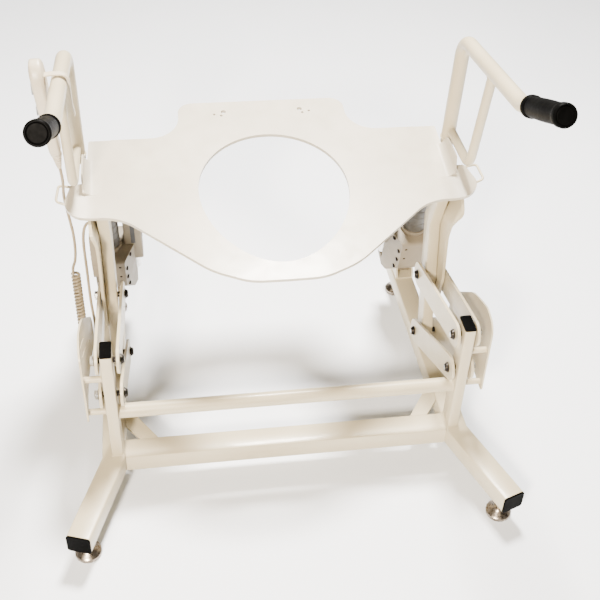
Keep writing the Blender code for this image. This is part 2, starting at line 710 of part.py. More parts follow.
def make_seat_plate():
    half = seat_outline()
    outline = half + [Vector((-p.x, p.y)) for p in reversed(half[1:-1])]
    holes = [aperture_outline()]
    for sign in (-1.0, 1.0):
        holes.append(circle((sign * HINGE_HOLE_X, -0.001), 0.0045, 12))
        holes.append(circle((sign * (HINGE_HOLE_X + 0.017), -0.007), 0.0025, 10))
        holes.append(circle((sign * (HINGE_HOLE_X + 0.0045), -0.0108), 0.0025, 10))
    bm = prism(outline, -SEAT_THICK, 0.0, along_z, holes)
    for sign in (-1.0, 1.0):
        for x in (0.300, 0.307, 0.314, 0.3215, 0.329, 0.337, 0.344):
            geom = list(bm.verts) + list(bm.edges) + list(bm.faces)
            bmesh.ops.bisect_plane(bm, geom=geom, dist=1e-6, plane_co=(sign * x, 0, 0),
                                   plane_no=(1, 0, 0))
    for vert in bm.verts:
        vert.co.z += wing_height(vert.co.x)
    plate = add_object("seat_plate", bm, WHITE, SEAT, local=True)
    plate.data.validate()
    for sign in (-1.0, 1.0):
        flange_outline = rounded([(-0.1130, -0.004), (-0.1130, 0.022), (-0.1880, 0.035),
                                  (-0.1960, -0.004)], [0.0, 0.004, 0.010, 0.0], 4)
        low = min(sign * 0.3185, sign * 0.3213)
        flange = add_object("flange", prism(flange_outline, low, low + 0.0028, along_x), WHITE, SEAT,
                            local=True)
        combine(plate, flange, "UNION")
        wire = rounded([(sign * 0.3370, -0.1800, 0.0042), (sign * 0.3600, -0.1800, 0.0110),
                        (sign * 0.3640, -0.2180, 0.0120), (sign * 0.3460, -0.2230, 0.0075)],
                       [0.0, 0.007, 0.007, 0.0], 4, False)
        loop = add_object("loop", sweep(wire, round_section(0.0022, 10), (0, 0, 1)), WHITE, SEAT,
                          local=True)
        combine(plate, loop, "UNION")


# ---------------------------------------------------------------- arms and grips

def arm_points(side):
    """Corners of an arm tube in the seat frame: foot, top bend, grip bend and grip end."""
    sign = mirrored(side)
    return [
        Vector((sign * 0.3292, -0.0990, -0.010)),
        Vector((sign * 0.3280, -0.0750, 0.200)),
        Vector((sign * 0.3310, -0.3410, 0.2853)),
        Vector((sign * 0.3320, -0.4660, 0.3770 + GRIP_END_LIFT[side])),
    ]


def make_arm(side):
    sign = mirrored(side)
    path = rounded(arm_points(side), [0.0, 0.040, 0.050, 0.0], 5, False)
    outer = round_section(ARM_DIAMETER / 2.0)
    inner = round_section(ARM_DIAMETER / 2.0 - ARM_WALL)
    tube = add_object(side + "_arm", sweep(path, outer, (1, 0, 0), inner), WHITE, SEAT, True, True)
    corners = [(sign * 0.3300, -0.0980, 0.0225), (sign * 0.3315, -0.2170, 0.0440),
               (sign * 0.3300, -0.2190, 0.2460)]
    low = rounded(corners, [0.0, 0.028, 0.0], 5, False)
    outer = round_section(LOOP_DIAMETER / 2.0, 12)
    loop = add_object("support", sweep(low, outer, (1, 0, 0)), WHITE, SEAT, True, True)
    core = sweep(path, round_section(ARM_DIAMETER / 2.0 - 0.001), (1, 0, 0))
    cutter = add_object("cutter", core, WHITE, SEAT, local=True)
    combine(loop, cutter, "DIFFERENCE")
    combine(tube, loop, "UNION")


def make_grip(side):
    """A hollow grip pushed over the end of the arm tube, with a rim at each end."""
    points = arm_points(side)
    end = points[3]
    outward = (points[3] - points[2]).normalized()
    bore = ARM_DIAMETER / 2.0 + GAP
    body, rim = GRIP_DIAMETER / 2.0, GRIP_FLANGE / 2.0
    start = 0.004 - GRIP_LONG
    profile = [
        (start, bore), (start, rim - 0.001), (start + 0.002, rim), (start + 0.010, rim),
        (start + 0.014, body), (-0.060, body + 0.001), (-0.014, body), (-0.010, rim),
        (0.002, rim), (0.004, rim - 0.002), (0.004, 0.0105), (0.0032, 0.0100), (0.0032, 0.0),
    ]
    inner = [(GAP, 0.0), (GAP, bore)]
    bm = turned_shell(profile, inner, end, outward)
    add_object(side + "_grip", bm, RUBBER, SEAT, smooth=True, local=True)


def turned_shell(outer, inner, middle, axis, count=20):
    """A turned cup: the outer profile runs from the mouth to the tip, the inner one back."""
    axis = Vector(axis).normalized()
    across = Vector((1.0, 0.0, 0.0))
    across = (across - axis * across.dot(axis)).normalized()
    other = axis.cross(across)
    bm = bmesh.new()
    rings = []
    for distance, radius in outer + inner:
        centre = Vector(middle) + axis * distance
        if radius == 0.0:
            rings.append([bm.verts.new(centre)])
            continue
        turns = [2.0 * pi * k / count for k in range(count)]
        rings.append([
            bm.verts.new(centre + across * (radius * cos(t)) + other * (radius * sin(t)))
            for t in turns
        ])
    pairs = list(zip(rings, rings[1:])) + [(rings[-1], rings[0])]
    for low, high in pairs:
        if len(low) == 1 and len(high) == 1:
            continue
        for k in range(count):
            if len(low) == 1:
                bm.faces.new((low[0], high[k], high[k - 1]))
            elif len(high) == 1:
                bm.faces.new((low[k - 1], low[k], high[0]))
            else:
                bm.faces.new((low[k - 1], low[k], high[k], high[k - 1]))
    return bm


# ---------------------------------------------------------------- actuators

def actuator_axes():
    """The actuator's direction and its forward normal, as (y, z) vectors, and its length."""
    run = Vector(ACT_TOP) - Vector(ACT_BASE)
    along = run.normalized()
    forward = Vector((-along.y, along.x))
    return along, forward, run.length


def on_actuator(x, along_run, forward_run):
    along, forward, _ = actuator_axes()
    return yz(Vector(ACT_BASE) + along * along_run + forward * forward_run, x)


def make_actuator(side):
    """Gearbox with its lower eye and the outer tube beside the motor."""
    sign = mirrored(side)
    along, forward, length = actuator_axes()
    eye_x = sorted(sign * x for x in ACT_EYE_X)

    def place(a, b, height):
        return on_actuator(height, b, a)

    outline = rounded([(0.030, 0.026), (0.062, 0.069), (0.062, GEARBOX_TOP),
                       (-0.032, GEARBOX_TOP), (-0.032, 0.036), (-0.020, 0.026)], 0.006, 3)
    gear = prism(outline, sign * 0.2500, sign * 0.3270, place)
    bevel_start = 0.016
    geom = list(gear.verts) + list(gear.edges) + list(gear.faces)
    bmesh.ops.bisect_plane(gear, geom=geom, dist=1e-6, plane_co=on_actuator(0.0, 0.0, bevel_start),
                           plane_no=yz(forward))
    for vert in gear.verts:
        ahead = (vert.co - yz(ACT_BASE)).dot(yz(forward)) - bevel_start
        if abs(vert.co.x) < 0.26 and ahead > 0.0:
            vert.co.x += sign * 0.020 * ahead / (0.062 - bevel_start)
    body = add_object(side + "_actuator", gear, BEIGE)
    lug_outline = rounded([(0.012, 0.040), (-0.012, 0.040), (-0.012, -0.012), (0.012, -0.012)],
                          [0.0, 0.0, 0.009, 0.009], 4)
    lug = add_object("lug", prism(lug_outline, eye_x[0], eye_x[1], place), BEIGE)
    combine(body, lug, "UNION")
    cut_hole(body, yz(ACT_BASE, sum(eye_x) / 2.0), PIN_HOLE, 0.03)
    tube_path = [on_actuator(sign * ACT_X, 0.100, 0.0), on_actuator(sign * ACT_X, TUBE_TOP, 0.0)]
    tube = add_object("tube", sweep(tube_path, box_section(0.034, 0.036, 0.004), (1, 0, 0)), GREY)
    combine(body, tube, "UNION")
    bore_path = [on_actuator(sign * ACT_X, BORE_START, 0.0),
                 on_actuator(sign * ACT_X, TUBE_TOP + 0.01, 0.0)]
    bore = sweep(bore_path, round_section(ROD_DIAMETER / 2.0 + GAP, 20), (1, 0, 0))
    combine(body, add_object("bore", bore, GREY), "DIFFERENCE")
    move_to(body, ACTUATOR_AXIS)


def move_to(obj, frame):
    """Hands a piece that was made in world points to the frame that it moves with."""
    obj.data.transform(Matrix.Translation(-frame.location))
    obj.parent = frame


def make_motor(side):
    sign = mirrored(side)
    along, _, _ = actuator_axes()
    start = on_actuator(sign * MOTOR_X, GEARBOX_TOP + GAP, MOTOR_FORWARD)
    radius = MOTOR_DIAMETER / 2.0
    profile = [
        (0.0, 0.0), (0.0, radius), (0.008, radius), (0.008, radius - 0.001),
        (MOTOR_LONG - 0.008, radius - 0.001), (MOTOR_LONG, radius - 0.007), (MOTOR_LONG, 0.0),
    ]
    body = turned(profile, start, yz(along), 24)
    add_object(side + "_motor", body, GREY, ACTUATOR_AXIS, smooth=True)


def make_rod(side):
    """The thrust rod, with a cross pin at its upper end."""
    sign = mirrored(side)
    along, _, length = actuator_axes()
    start = on_actuator(sign * ACT_X, ROD_START, 0.0)
    radius = ROD_DIAMETER / 2.0
    run = length - ROD_START
    profile = [
        (0.0, 0.0), (0.0, radius), (run + 0.007, radius), (run + 0.010, radius - 0.003),
        (run + 0.010, 0.0),
    ]
    rod = add_object(side + "_actuator_rod", turned(profile, start, yz(along), 20), ROD_STEEL)
    pin = turned([(-0.0235, 0.005), (0.0235, 0.005)], yz(ACT_TOP, sign * ACT_X), (1, 0, 0), 16)
    combine(rod, add_object("pin", pin, STEEL), "UNION")
    move_to(rod, ACTUATOR_AXIS)


def make_thrust_bracket(side):
    """A channel under the seat with long slots, in which the rod's cross pin pushes."""
    sign = mirrored(side)
    y, z = ACT_TOP[0] - SEAT_ORIGIN.y, ACT_TOP[1] - SEAT_ORIGIN.z
    pin_v = y * cos(SEAT_TILT) + z * sin(SEAT_TILT)
    pin_w = z * cos(SEAT_TILT) - y * sin(SEAT_TILT)
    lean = -THRUST_SLOT_DROP
    top = -SEAT_THICK - GAP
    half_long, radius, ahead = 0.0116, 0.0061, -0.0045
    slot_way = Vector((cos(lean), sin(lean)))
    middle = Vector((pin_v, pin_w)) + slot_way * ahead
    slot = []
    for end, begin in ((half_long, lean - pi / 2.0), (-half_long, lean + pi / 2.0)):
        for k in range(9):
            turn = begin + pi * k / 8
            slot.append(middle + slot_way * end + Vector((cos(turn), sin(turn))) * radius)
    low = pin_w - 0.026
    corners = [(pin_v - 0.044, top - 0.002), (pin_v - 0.044, top - 0.016), (pin_v - 0.024, low),
               (pin_v + 0.020, low), (pin_v + 0.040, top - 0.016), (pin_v + 0.040, top - 0.002)]
    outline = rounded(corners, [0.0, 0.004, 0.012, 0.012, 0.004, 0.0], 4)
    xs = sorted((sign * (ACT_X - 0.0225), sign * (ACT_X + 0.0225)))
    plate = block(xs, (pin_v - 0.044, pin_v + 0.040), (top - 0.004, top))
    bracket = add_object(side + "_thrust_bracket", plate, WHITE, SEAT, local=True)
    for middle_x in (ACT_X - 0.0205, ACT_X + 0.0205):
        xs = sorted((sign * (middle_x - 0.002), sign * (middle_x + 0.002)))
        cheek = prism(outline, xs[0], xs[1], along_x, [slot])
        combine(bracket, add_object("cheek", cheek, WHITE, SEAT, local=True), "UNION")


# ---------------------------------------------------------------- control box, handset and cords

def make_connector_box():
    """The box on the left profile plate into which the handset's cord is plugged."""
    inner = UPRIGHT_INNER_X + UPRIGHT_WIDE + 2.0 * GAP + PROFILE_THICK
    corners = [(0.070, 0.278), (0.092, 0.276), (0.104, 0.310), (0.106, 0.366), (0.064, 0.368),
               (0.062, 0.312)]
    outline = rounded(corners, [0.007, 0.007, 0.020, 0.008, 0.008, 0.020], 4)
    box = add_object("connector_box", prism(outline, -inner - 0.012, -inner, along_x), BEIGE)
    move_to(box, CARRIAGE)


def lean_handset(bm):
    """Leans points with the handset, which is thinner at its lower end, next to the arm."""
    run = HANDSET_TOP - HANDSET_BOTTOM
    for vert in bm.verts:
        height = (vert.co.z - HANDSET_BOTTOM.z) / run.z
        vert.co.x = vert.co.x * (0.8 + 0.2 * height) + HANDSET_BOTTOM.x + run.x * height
    return bm


def make_handset():
    """The pendant with its two keys, its hook and its strain relief."""
    y, top, bottom = HANDSET_TOP.y, HANDSET_TOP.z, HANDSET_BOTTOM.z
    half_wide, half_thick = HANDSET_WIDE / 2.0, HANDSET_THICK / 2.0
    corners = [(y - half_wide, top), (y + half_wide, top), (y + half_wide, bottom + 0.085),
               (y + half_wide * 0.68, bottom), (y - half_wide * 0.68, bottom),
               (y - half_wide, bottom + 0.085)]
    outline = rounded(corners, [0.0245, 0.0245, 0.060, 0.009, 0.009, 0.060], 6)
    body = prism(outline, -half_thick, half_thick, along_x)
    bmesh.ops.recalc_face_normals(body, faces=body.faces)
    body.normal_update()
    edges = [e for e in body.edges if abs(e.verts[0].co.x - e.verts[1].co.x) < 1e-6
             and len(e.link_faces) == 2
             and e.link_faces[0].normal.angle(e.link_faces[1].normal, 0.0) > 0.5]
    bmesh.ops.bevel(body, geom=edges, offset=0.006, segments=3, affect="EDGES", profile=0.5)
    handset = add_object("handset_body", lean_handset(body), IVORY, smooth=True)
    for name, key_z in (("up", top - 0.045), ("down", top - 0.080)):
        pocket = turned([(-0.004, 0.0096), (0.004, 0.0096)], (-half_thick, y, key_z), (1, 0, 0), 20)
        cutter = add_object("pocket", lean_handset(pocket), IVORY)
        combine(handset, cutter, "DIFFERENCE")
        key = turned([(0.0025, 0.0), (0.0025, 0.0092), (-0.0016, 0.0092), (-0.0024, 0.0078),
                      (-0.0024, 0.0)], (-half_thick, y, key_z), (1, 0, 0), 20)
        add_object("handset_" + name + "_button", lean_handset(key), GREY, CARRIAGE, smooth=True)
    strap = rounded([(-0.3520, HOOK_Y, 0.6860), (-0.3400, HOOK_Y, 0.6875), (-0.3147, HOOK_Y, 0.6875),
                     (-0.3145, HOOK_Y, 0.6400), (-0.3120, HOOK_Y, 0.6180)],
                    [0.0, 0.010, 0.011, 0.030, 0.0], 5, False)
    hook = add_object("hook", sweep(strap, box_section(0.012, 0.003), (0, 1, 0)), IVORY)
    combine(handset, hook, "UNION")
    relief = turned([(-0.004, 0.0), (-0.004, 0.0085), (0.006, 0.0080), (0.028, 0.0042), (0.028, 0.0)],
                    HANDSET_BOTTOM, HANDSET_BOTTOM - HANDSET_TOP, 14)
    combine(handset, add_object("relief", relief, IVORY), "UNION")
    move_to(handset, CARRIAGE)


HANDSET_CORD = [
    (-0.3466, 0.0482, 0.5210), (-0.3462, 0.0510, 0.5080), (-0.3470, 0.0620, 0.4860),
    (-0.3500, 0.0780, 0.4590), (-0.3516, 0.0880, 0.4380), (-0.3505, 0.0915, 0.4150),
    (-0.3480, 0.0905, 0.3900), (-0.3450, 0.0850, 0.3650), (-0.3445, 0.0780, 0.3380),
    (-0.3470, 0.0735, 0.3170), (-0.3520, 0.0740, 0.3020), (-0.3520, 0.0790, 0.2900),
    (-0.3510, 0.0840, 0.2815),
]
CURL_TOP = Vector((-0.3507, 0.0845, 0.2800))
CURL_BOTTOM = Vector((-0.3500, 0.0690, 0.1500))
HANDSET_TAIL = [
    (-0.3500, 0.0688, 0.1485), (-0.3496, 0.0665, 0.1390), (-0.3470, 0.0635, 0.1310),
    (-0.3410, 0.0605, 0.1265), (-0.3340, 0.0580, 0.1275), (-0.3290, 0.0560, 0.1350),
    (-0.3265, 0.0545, 0.1500), (-0.3255, 0.0545, 0.1700), (-0.3265, 0.0575, 0.1950),
    (-0.3285, 0.0640, 0.2200), (-0.3295, 0.0700, 0.2450), (-0.3295, 0.0740, 0.2750),
    (-0.3295, 0.0760, 0.3050), (-0.3295, 0.0760, 0.3350), (-0.3285, 0.0765, 0.3600),
    (-0.3250, 0.0775, 0.3800), (-0.3185, 0.0790, 0.3900), (-0.3145, 0.0805, 0.3840),
    (-0.3135, 0.0810, 0.3690),
]


def smooth_route(points, per_span=3):
    """A Catmull-Rom curve through the route's points."""
    points = [Vector(p) for p in points]
    padded = [points[0] * 2.0 - points[1]] + points + [points[-1] * 2.0 - points[-2]]
    route = []
    for a, b, c, d in zip(padded, padded[1:], padded[2:], padded[3:]):
        for k in range(per_span):
            t = k / per_span
            route.append(0.5 * ((2.0 * b) + (c - a) * t + (2.0 * a - 5.0 * b + 4.0 * c - d) * t * t
                                + (3.0 * b - a - 3.0 * c + d) * t ** 3))
    route.append(points[-1])
    return route


def make_cord(name, points, per_span):
    route = smooth_route(points, per_span)
    curve = bpy.data.curves.new(name, "CURVE")
    curve.dimensions = "3D"
    curve.bevel_depth = CORD_DIAMETER / 2.0
    curve.bevel_resolution = 2
    curve.use_fill_caps = True
    spline = curve.splines.new("POLY")
    spline.points.add(len(route) - 1)
    for point, place in zip(spline.points, route):
        point.co = (*(place - CARRIAGE.location), 1.0)
    curve.materials.append(IVORY)
    cord = bpy.data.objects.new(name, curve)
    cord.parent = CARRIAGE
    bpy.context.scene.collection.objects.link(cord)


def make_curl():
    """The curly part of the handset cord, as one solid of its outer diameter."""
    run = CURL_BOTTOM - CURL_TOP
    radius = CURL_DIAMETER / 2.0
    profile = [(0.0, 0.0), (0.0, radius - 0.003), (0.004, radius), (run.length - 0.004, radius),
               (run.length, radius - 0.003), (run.length, 0.0)]
    add_object("handset_curl", turned(profile, CURL_TOP, run, 14), IVORY, CARRIAGE, smooth=True)


make_cross_tube()
make_front_bar()
for SIDE in ("left", "right"):
    make_rail(SIDE)
    make_rail_caps(SIDE)
    make_post(SIDE)
    make_guard(SIDE)
    for WHERE in ("front", "rear"):
        make_foot(SIDE, WHERE)
    make_actuator_bracket(SIDE)
    make_links(SIDE)
    make_pins(SIDE)
    make_upright(SIDE)
    make_profile_plate(SIDE)
    make_arm(SIDE)
    make_grip(SIDE)
    make_actuator(SIDE)
    make_motor(SIDE)
    make_rod(SIDE)
    make_thrust_bracket(SIDE)
make_seat_plate()
make_connector_box()
make_handset()
make_cord("handset_cord", HANDSET_CORD, 3)
make_curl()
make_cord("handset_tail", HANDSET_TAIL, 2)
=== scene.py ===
import json
from math import cos, pi, radians, sin, tan

import bmesh
import bpy
from mathutils import Matrix, Vector, noise


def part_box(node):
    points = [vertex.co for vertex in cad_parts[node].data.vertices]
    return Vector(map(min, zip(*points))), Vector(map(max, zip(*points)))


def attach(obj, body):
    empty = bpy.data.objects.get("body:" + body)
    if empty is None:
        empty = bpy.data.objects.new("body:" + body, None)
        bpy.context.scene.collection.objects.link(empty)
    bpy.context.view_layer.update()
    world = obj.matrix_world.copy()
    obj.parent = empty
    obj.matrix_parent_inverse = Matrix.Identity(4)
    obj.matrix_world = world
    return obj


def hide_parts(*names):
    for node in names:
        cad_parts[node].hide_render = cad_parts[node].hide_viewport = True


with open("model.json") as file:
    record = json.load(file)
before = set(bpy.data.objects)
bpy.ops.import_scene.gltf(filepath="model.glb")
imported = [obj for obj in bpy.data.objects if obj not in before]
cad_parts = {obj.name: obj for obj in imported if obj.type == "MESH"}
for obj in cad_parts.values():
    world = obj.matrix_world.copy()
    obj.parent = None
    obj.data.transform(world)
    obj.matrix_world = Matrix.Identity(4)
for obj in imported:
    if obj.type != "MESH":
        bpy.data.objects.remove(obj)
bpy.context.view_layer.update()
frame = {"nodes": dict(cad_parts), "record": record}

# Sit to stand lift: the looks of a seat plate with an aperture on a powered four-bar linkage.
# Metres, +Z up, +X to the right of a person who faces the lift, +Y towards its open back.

# Dimensions that the pieces here share with the CAD part
SEAT_TILT = radians(11.5)
SEAT_ORIGIN = Vector((0.0, 0.285, 0.4753))
SEAT_THICK = 0.006
APERTURE_MIDDLE_V = -0.200
APERTURE_HALF_WIDE = 0.129
APERTURE_BACK = 0.134
APERTURE_FRONT = 0.167
HINGE_HOLE_X = 0.070
HINGE_HOLE_RADIUS = 0.0045
SCREW_HOLE_RADIUS = 0.0025
WING_FOLD_X = 0.300
WING_EDGE_X = 0.345
WING_RISE = 0.010
ARM_RADIUS = 0.0125
LOOP_RADIUS = 0.008
GRIP_LONG = 0.122
GRIP_END_LIFT = {"left": 0.005, "right": -0.005}
ACT_BASE = Vector((0.0, 0.283, 0.095))
ACT_TOP = Vector((0.0, 0.1995, 0.4138))
ACT_ALONG = (ACT_TOP - ACT_BASE).normalized()
ACT_FORWARD = Vector((0.0, -ACT_ALONG.z, ACT_ALONG.y))
ACT_X = 0.2515
GEARBOX_TOP = 0.143
GEARBOX_INNER_X = 0.2500
GEARBOX_SLANT = 0.020
SLANT_START = 0.016
SLANT_LONG = 0.046
TUBE_TOP = 0.286
MOTOR_X = 0.3005
MOTOR_FORWARD = 0.014
HANDSET_TOP = Vector((-0.3610, 0.048, 0.7070))
HANDSET_BOTTOM = Vector((-0.3492, 0.048, 0.5500))
HANDSET_WIDE = 0.050
HANDSET_THICK = 0.022
HOOK_Y = 0.040
GUARD_INNER_X = 0.3345
GUARD_OUTER_X = 0.3375
GUARD_FRONT = -0.163
GUARD_LONG = 0.215
CORD_DIAMETER = 0.0050
CURL_DIAMETER = 0.0170
SIDES = (("left", -1.0), ("right", 1.0))

# Dimensions that only the pieces here have
FLANGE_BACK_V = -0.1135
FLANGE_LONG = 0.0825
CURL_TURNS = 19
CURL_ENTERS = 148.0  # degrees around the curl's axis
CURL_LEAVES = 36.0
BEAD_STEPS = 48
BEAD_SIDES = 8


# ---------------------------------------------------------------- camera

def make_camera():
    """The photo's camera, solved from features of the frame."""
    data = bpy.data.cameras.new("camera")
    data.sensor_width = 36.0
    data.lens = 58.81
    data.clip_end = 50.0
    camera = bpy.data.objects.new("camera", data)
    bpy.context.scene.collection.objects.link(camera)
    forward = Vector((0.12978, 0.75371, -0.64426)).normalized()
    up = Vector((0.06760, 0.64153, 0.76412))
    right = forward.cross(up).normalized()
    up = right.cross(forward)
    turn = Matrix((right, up, -forward)).transposed()
    camera.matrix_world = Matrix.Translation((-0.1869, -1.3036, 1.3693)) @ turn.to_4x4()
    bpy.context.scene.camera = camera


make_camera()


# ---------------------------------------------------------------- materials

def node_material(name):
    mat = bpy.data.materials.new(name)
    mat.use_nodes = True
    tree = mat.node_tree
    return mat, tree, tree.nodes["Principled BSDF"]


def add_noise(tree, scale, detail=3.0, roughness=0.55):
    place = tree.nodes.new("ShaderNodeTexCoord")
    texture = tree.nodes.new("ShaderNodeTexNoise")
    texture.inputs["Scale"].default_value = scale
    texture.inputs["Detail"].default_value = detail
    texture.inputs["Roughness"].default_value = roughness
    tree.links.new(place.outputs["Object"], texture.inputs["Vector"])
    return texture.outputs["Fac"]


def add_ramp(tree, source, stops):
    """A colour ramp: stops are (place, colour or grey value)."""
    ramp = tree.nodes.new("ShaderNodeValToRGB")
    elements = ramp.color_ramp.elements
    while len(elements) < len(stops):
        elements.new(0.5)
    for element, (place, value) in zip(elements, stops):
        element.position = place
        colour = value if hasattr(value, "__len__") else (value, value, value)
        element.color = (*colour, 1.0)
    tree.links.new(source, ramp.inputs["Fac"])
    return ramp.outputs["Color"]


def add_bump(tree, shader, source, strength, distance):
    bump = tree.nodes.new("ShaderNodeBump")
    bump.inputs["Strength"].default_value = strength
    bump.inputs["Distance"].default_value = distance
    tree.links.new(source, bump.inputs["Height"])
    tree.links.new(bump.outputs["Normal"], shader.inputs["Normal"])


def finish_material(name, dark, light, patch, rough, grain, grain_depth, metallic=0.0,
                    specular=0.5):
    """A surface with slow patches of colour and gloss, and a fine grain in its relief."""
    mat, tree, shader = node_material(name)
    slow = add_noise(tree, patch, 4.0)
    tree.links.new(add_ramp(tree, slow, [(0.32, dark), (0.68, light)]), shader.inputs["Base Color"])
    wear = add_noise(tree, patch * 4.0, 5.0)
    tree.links.new(add_ramp(tree, wear, [(0.3, rough[0]), (0.7, rough[1])]), shader.inputs["Roughness"])
    add_bump(tree, shader, add_noise(tree, grain, 2.0), 0.35, grain_depth)
    shader.inputs["Metallic"].default_value = metallic
    shader.inputs["Specular IOR Level"].default_value = specular
    return mat


def powder_coat(name, dark, light):
    """Creamy powder coat: glossy with a slight orange peel, and a little grime where it is worn."""
    mat, tree, shader = node_material(name)
    slow = add_noise(tree, 5.0, 3.0)
    base = add_ramp(tree, slow, [(0.32, dark), (0.68, light)])
    specks = add_noise(tree, 210.0, 6.0, 0.7)
    grime = add_ramp(tree, specks, [(0.72, 0.0), (0.84, 0.14)])
    mix = tree.nodes.new("ShaderNodeMix")
    mix.data_type = "RGBA"
    mix.inputs["B"].default_value = (0.42, 0.36, 0.27, 1.0)
    tree.links.new(grime, mix.inputs["Factor"])
    tree.links.new(base, mix.inputs["A"])
    tree.links.new(mix.outputs["Result"], shader.inputs["Base Color"])
    gloss = add_noise(tree, 38.0, 4.0)
    tree.links.new(add_ramp(tree, gloss, [(0.3, 0.28), (0.7, 0.42)]), shader.inputs["Roughness"])
    add_bump(tree, shader, add_noise(tree, 620.0, 2.0), 0.25, 0.00012)
    shader.inputs["Specular IOR Level"].default_value = 0.40
    shader.inputs["Coat Weight"].default_value = 0.15
    shader.inputs["Coat Roughness"].default_value = 0.12
    return mat


# The frame's coat is warmer and more saturated than the seat's: painted warm shade for faces that lie
# mostly in shade. The seat's coat is the lit copy of the same white coat.
SHADE_WARMED_COAT = powder_coat("powder_coat", (0.465, 0.396, 0.262), (0.530, 0.463, 0.322))
SEAT_COAT = powder_coat("seat_powder_coat", (0.430, 0.385, 0.305), (0.515, 0.465, 0.375))
CAP = finish_material("cap_plastic", (0.0008, 0.0008, 0.0008), (0.0016, 0.0016, 0.0016), 30.0,
                      (0.40, 0.52), 1400.0, 0.00006, specular=0.012)
RUBBER = finish_material("grip_rubber", (0.0008, 0.0008, 0.0008), (0.0018, 0.0018, 0.0018), 45.0,
                         (0.42, 0.55), 1100.0, 0.00010, specular=0.018)
DARK_STEEL = finish_material("dark_bolt_steel", (0.012, 0.010, 0.008), (0.040, 0.035, 0.030), 90.0,
                             (0.26, 0.42), 900.0, 0.00005, 1.0)
BRIGHT_STEEL = finish_material("bright_bolt_steel", (0.58, 0.57, 0.55), (0.78, 0.77, 0.75), 120.0,
                               (0.16, 0.32), 900.0, 0.00004, 1.0)
BRONZE = finish_material("foot_plating", (0.16, 0.13, 0.10), (0.36, 0.31, 0.26), 60.0,
                         (0.22, 0.38), 700.0, 0.00006, 1.0)
# The beige is darker than the plastic is: painted shade for the housings under the seat.
SHADE_DARKENED_BEIGE = finish_material("beige_housing", (0.185, 0.150, 0.100), (0.235, 0.195, 0.135), 18.0,
                        (0.42, 0.58), 850.0, 0.00014)
IVORY = finish_material("ivory_plastic", (0.480, 0.410, 0.300), (0.545, 0.475, 0.360), 22.0,
                        (0.34, 0.46), 900.0, 0.00006)
CORD_SKIN = finish_material("cord_sheath", (0.215, 0.165, 0.095), (0.285, 0.225, 0.140), 30.0,
                            (0.38, 0.52), 1300.0, 0.00005, specular=0.35)
# Partly the motor's own dark grey-brown, partly painted shade under the seat.
SHADE_DARKENED_MOTOR_GREY = finish_material("motor_casing", (0.060, 0.054, 0.044), (0.090, 0.082, 0.068), 25.0,
                             (0.40, 0.55), 800.0, 0.00012)
SLOT_DARK = finish_material("slot_shadow", (0.035, 0.035, 0.036), (0.06, 0.06, 0.06), 30.0,
                            (0.5, 0.65), 700.0, 0.00006)
KEY_GREY = finish_material("key_rubber", (0.16, 0.17, 0.18), (0.22, 0.23, 0.24), 60.0,
                           (0.48, 0.62), 1200.0, 0.00006)


# ---------------------------------------------------------------- shape tools

def rounded(points, radii, steps=10, closed=True):
    """Replaces each corner by an arc. Works for 2-D outlines and 3-D paths."""
    points = [Vector(p) for p in points]
    if not hasattr(radii, "__len__"):
        radii = [radii] * len(points)
    found = []
    for i, (corner, radius) in enumerate(zip(points, radii)):
        if radius == 0.0 or (not closed and i in (0, len(points) - 1)):
            found.append(corner)
            continue
        back = (points[i - 1] - corner).normalized()
        ahead = (points[(i + 1) % len(points)] - corner).normalized()
        half = back.angle(ahead) / 2.0
        middle = corner + (back + ahead).normalized() * (radius / sin(half))
        start = corner + back * (radius / tan(half)) - middle
        end = corner + ahead * (radius / tan(half)) - middle
        sweep_angle = start.angle(end)
        for k in range(steps + 1):
            t = k / steps
            arm = start * sin((1.0 - t) * sweep_angle) + end * sin(t * sweep_angle)
            found.append(middle + arm / sin(sweep_angle))
    return found


def circle(middle, radius, count=24):
    return [
        Vector((middle[0] + radius * cos(2.0 * pi * k / count),
                middle[1] + radius * sin(2.0 * pi * k / count)))
        for k in range(count)
    ]


def along_x(a, b, height):
    return Vector((height, a, b))


def along_z(a, b, height):
    return Vector((a, b, height))


def seat_point(x, v, w):
    """A point given in the tilted seat frame: across, towards the back, up."""
    return SEAT_ORIGIN + Vector((x, v * cos(SEAT_TILT) - w * sin(SEAT_TILT),
                                 v * sin(SEAT_TILT) + w * cos(SEAT_TILT)))


def prism(outline, low, high, place, holes=()):
    """A flat outline with holes, given thickness."""
    bm = bmesh.new()
    edges = []
    for loop in (outline, *holes):
        verts = [bm.verts.new(place(p[0], p[1], low)) for p in loop]
        edges += [bm.edges.new((verts[i - 1], verts[i])) for i in range(len(verts))]
    filled = bmesh.ops.triangle_fill(bm, use_beauty=True, use_dissolve=False, edges=edges)
    faces = [f for f in filled["geom"] if isinstance(f, bmesh.types.BMFace)]
    raised = bmesh.ops.extrude_face_region(bm, geom=faces, use_keep_orig=True)
    move = place(0.0, 0.0, high) - place(0.0, 0.0, low)
    top = [v for v in raised["geom"] if isinstance(v, bmesh.types.BMVert)]
    bmesh.ops.translate(bm, verts=top, vec=move)
    return bm


def join_rings(bm, rings, closed=False):
    """Skins a row of rings. A ring of one vertex is a pole."""
    pairs = list(zip(rings, rings[1:]))
    if closed:
        pairs.append((rings[-1], rings[0]))
    for low, high in pairs:
        for k in range(max(len(low), len(high))):
            if len(low) == 1 and len(high) == 1:
                break
            if len(low) == 1:
                bm.faces.new((low[0], high[k], high[k - 1]))
            elif len(high) == 1:
                bm.faces.new((low[k - 1], low[k], high[0]))
            else:
                bm.faces.new((low[k - 1], low[k], high[k], high[k - 1]))


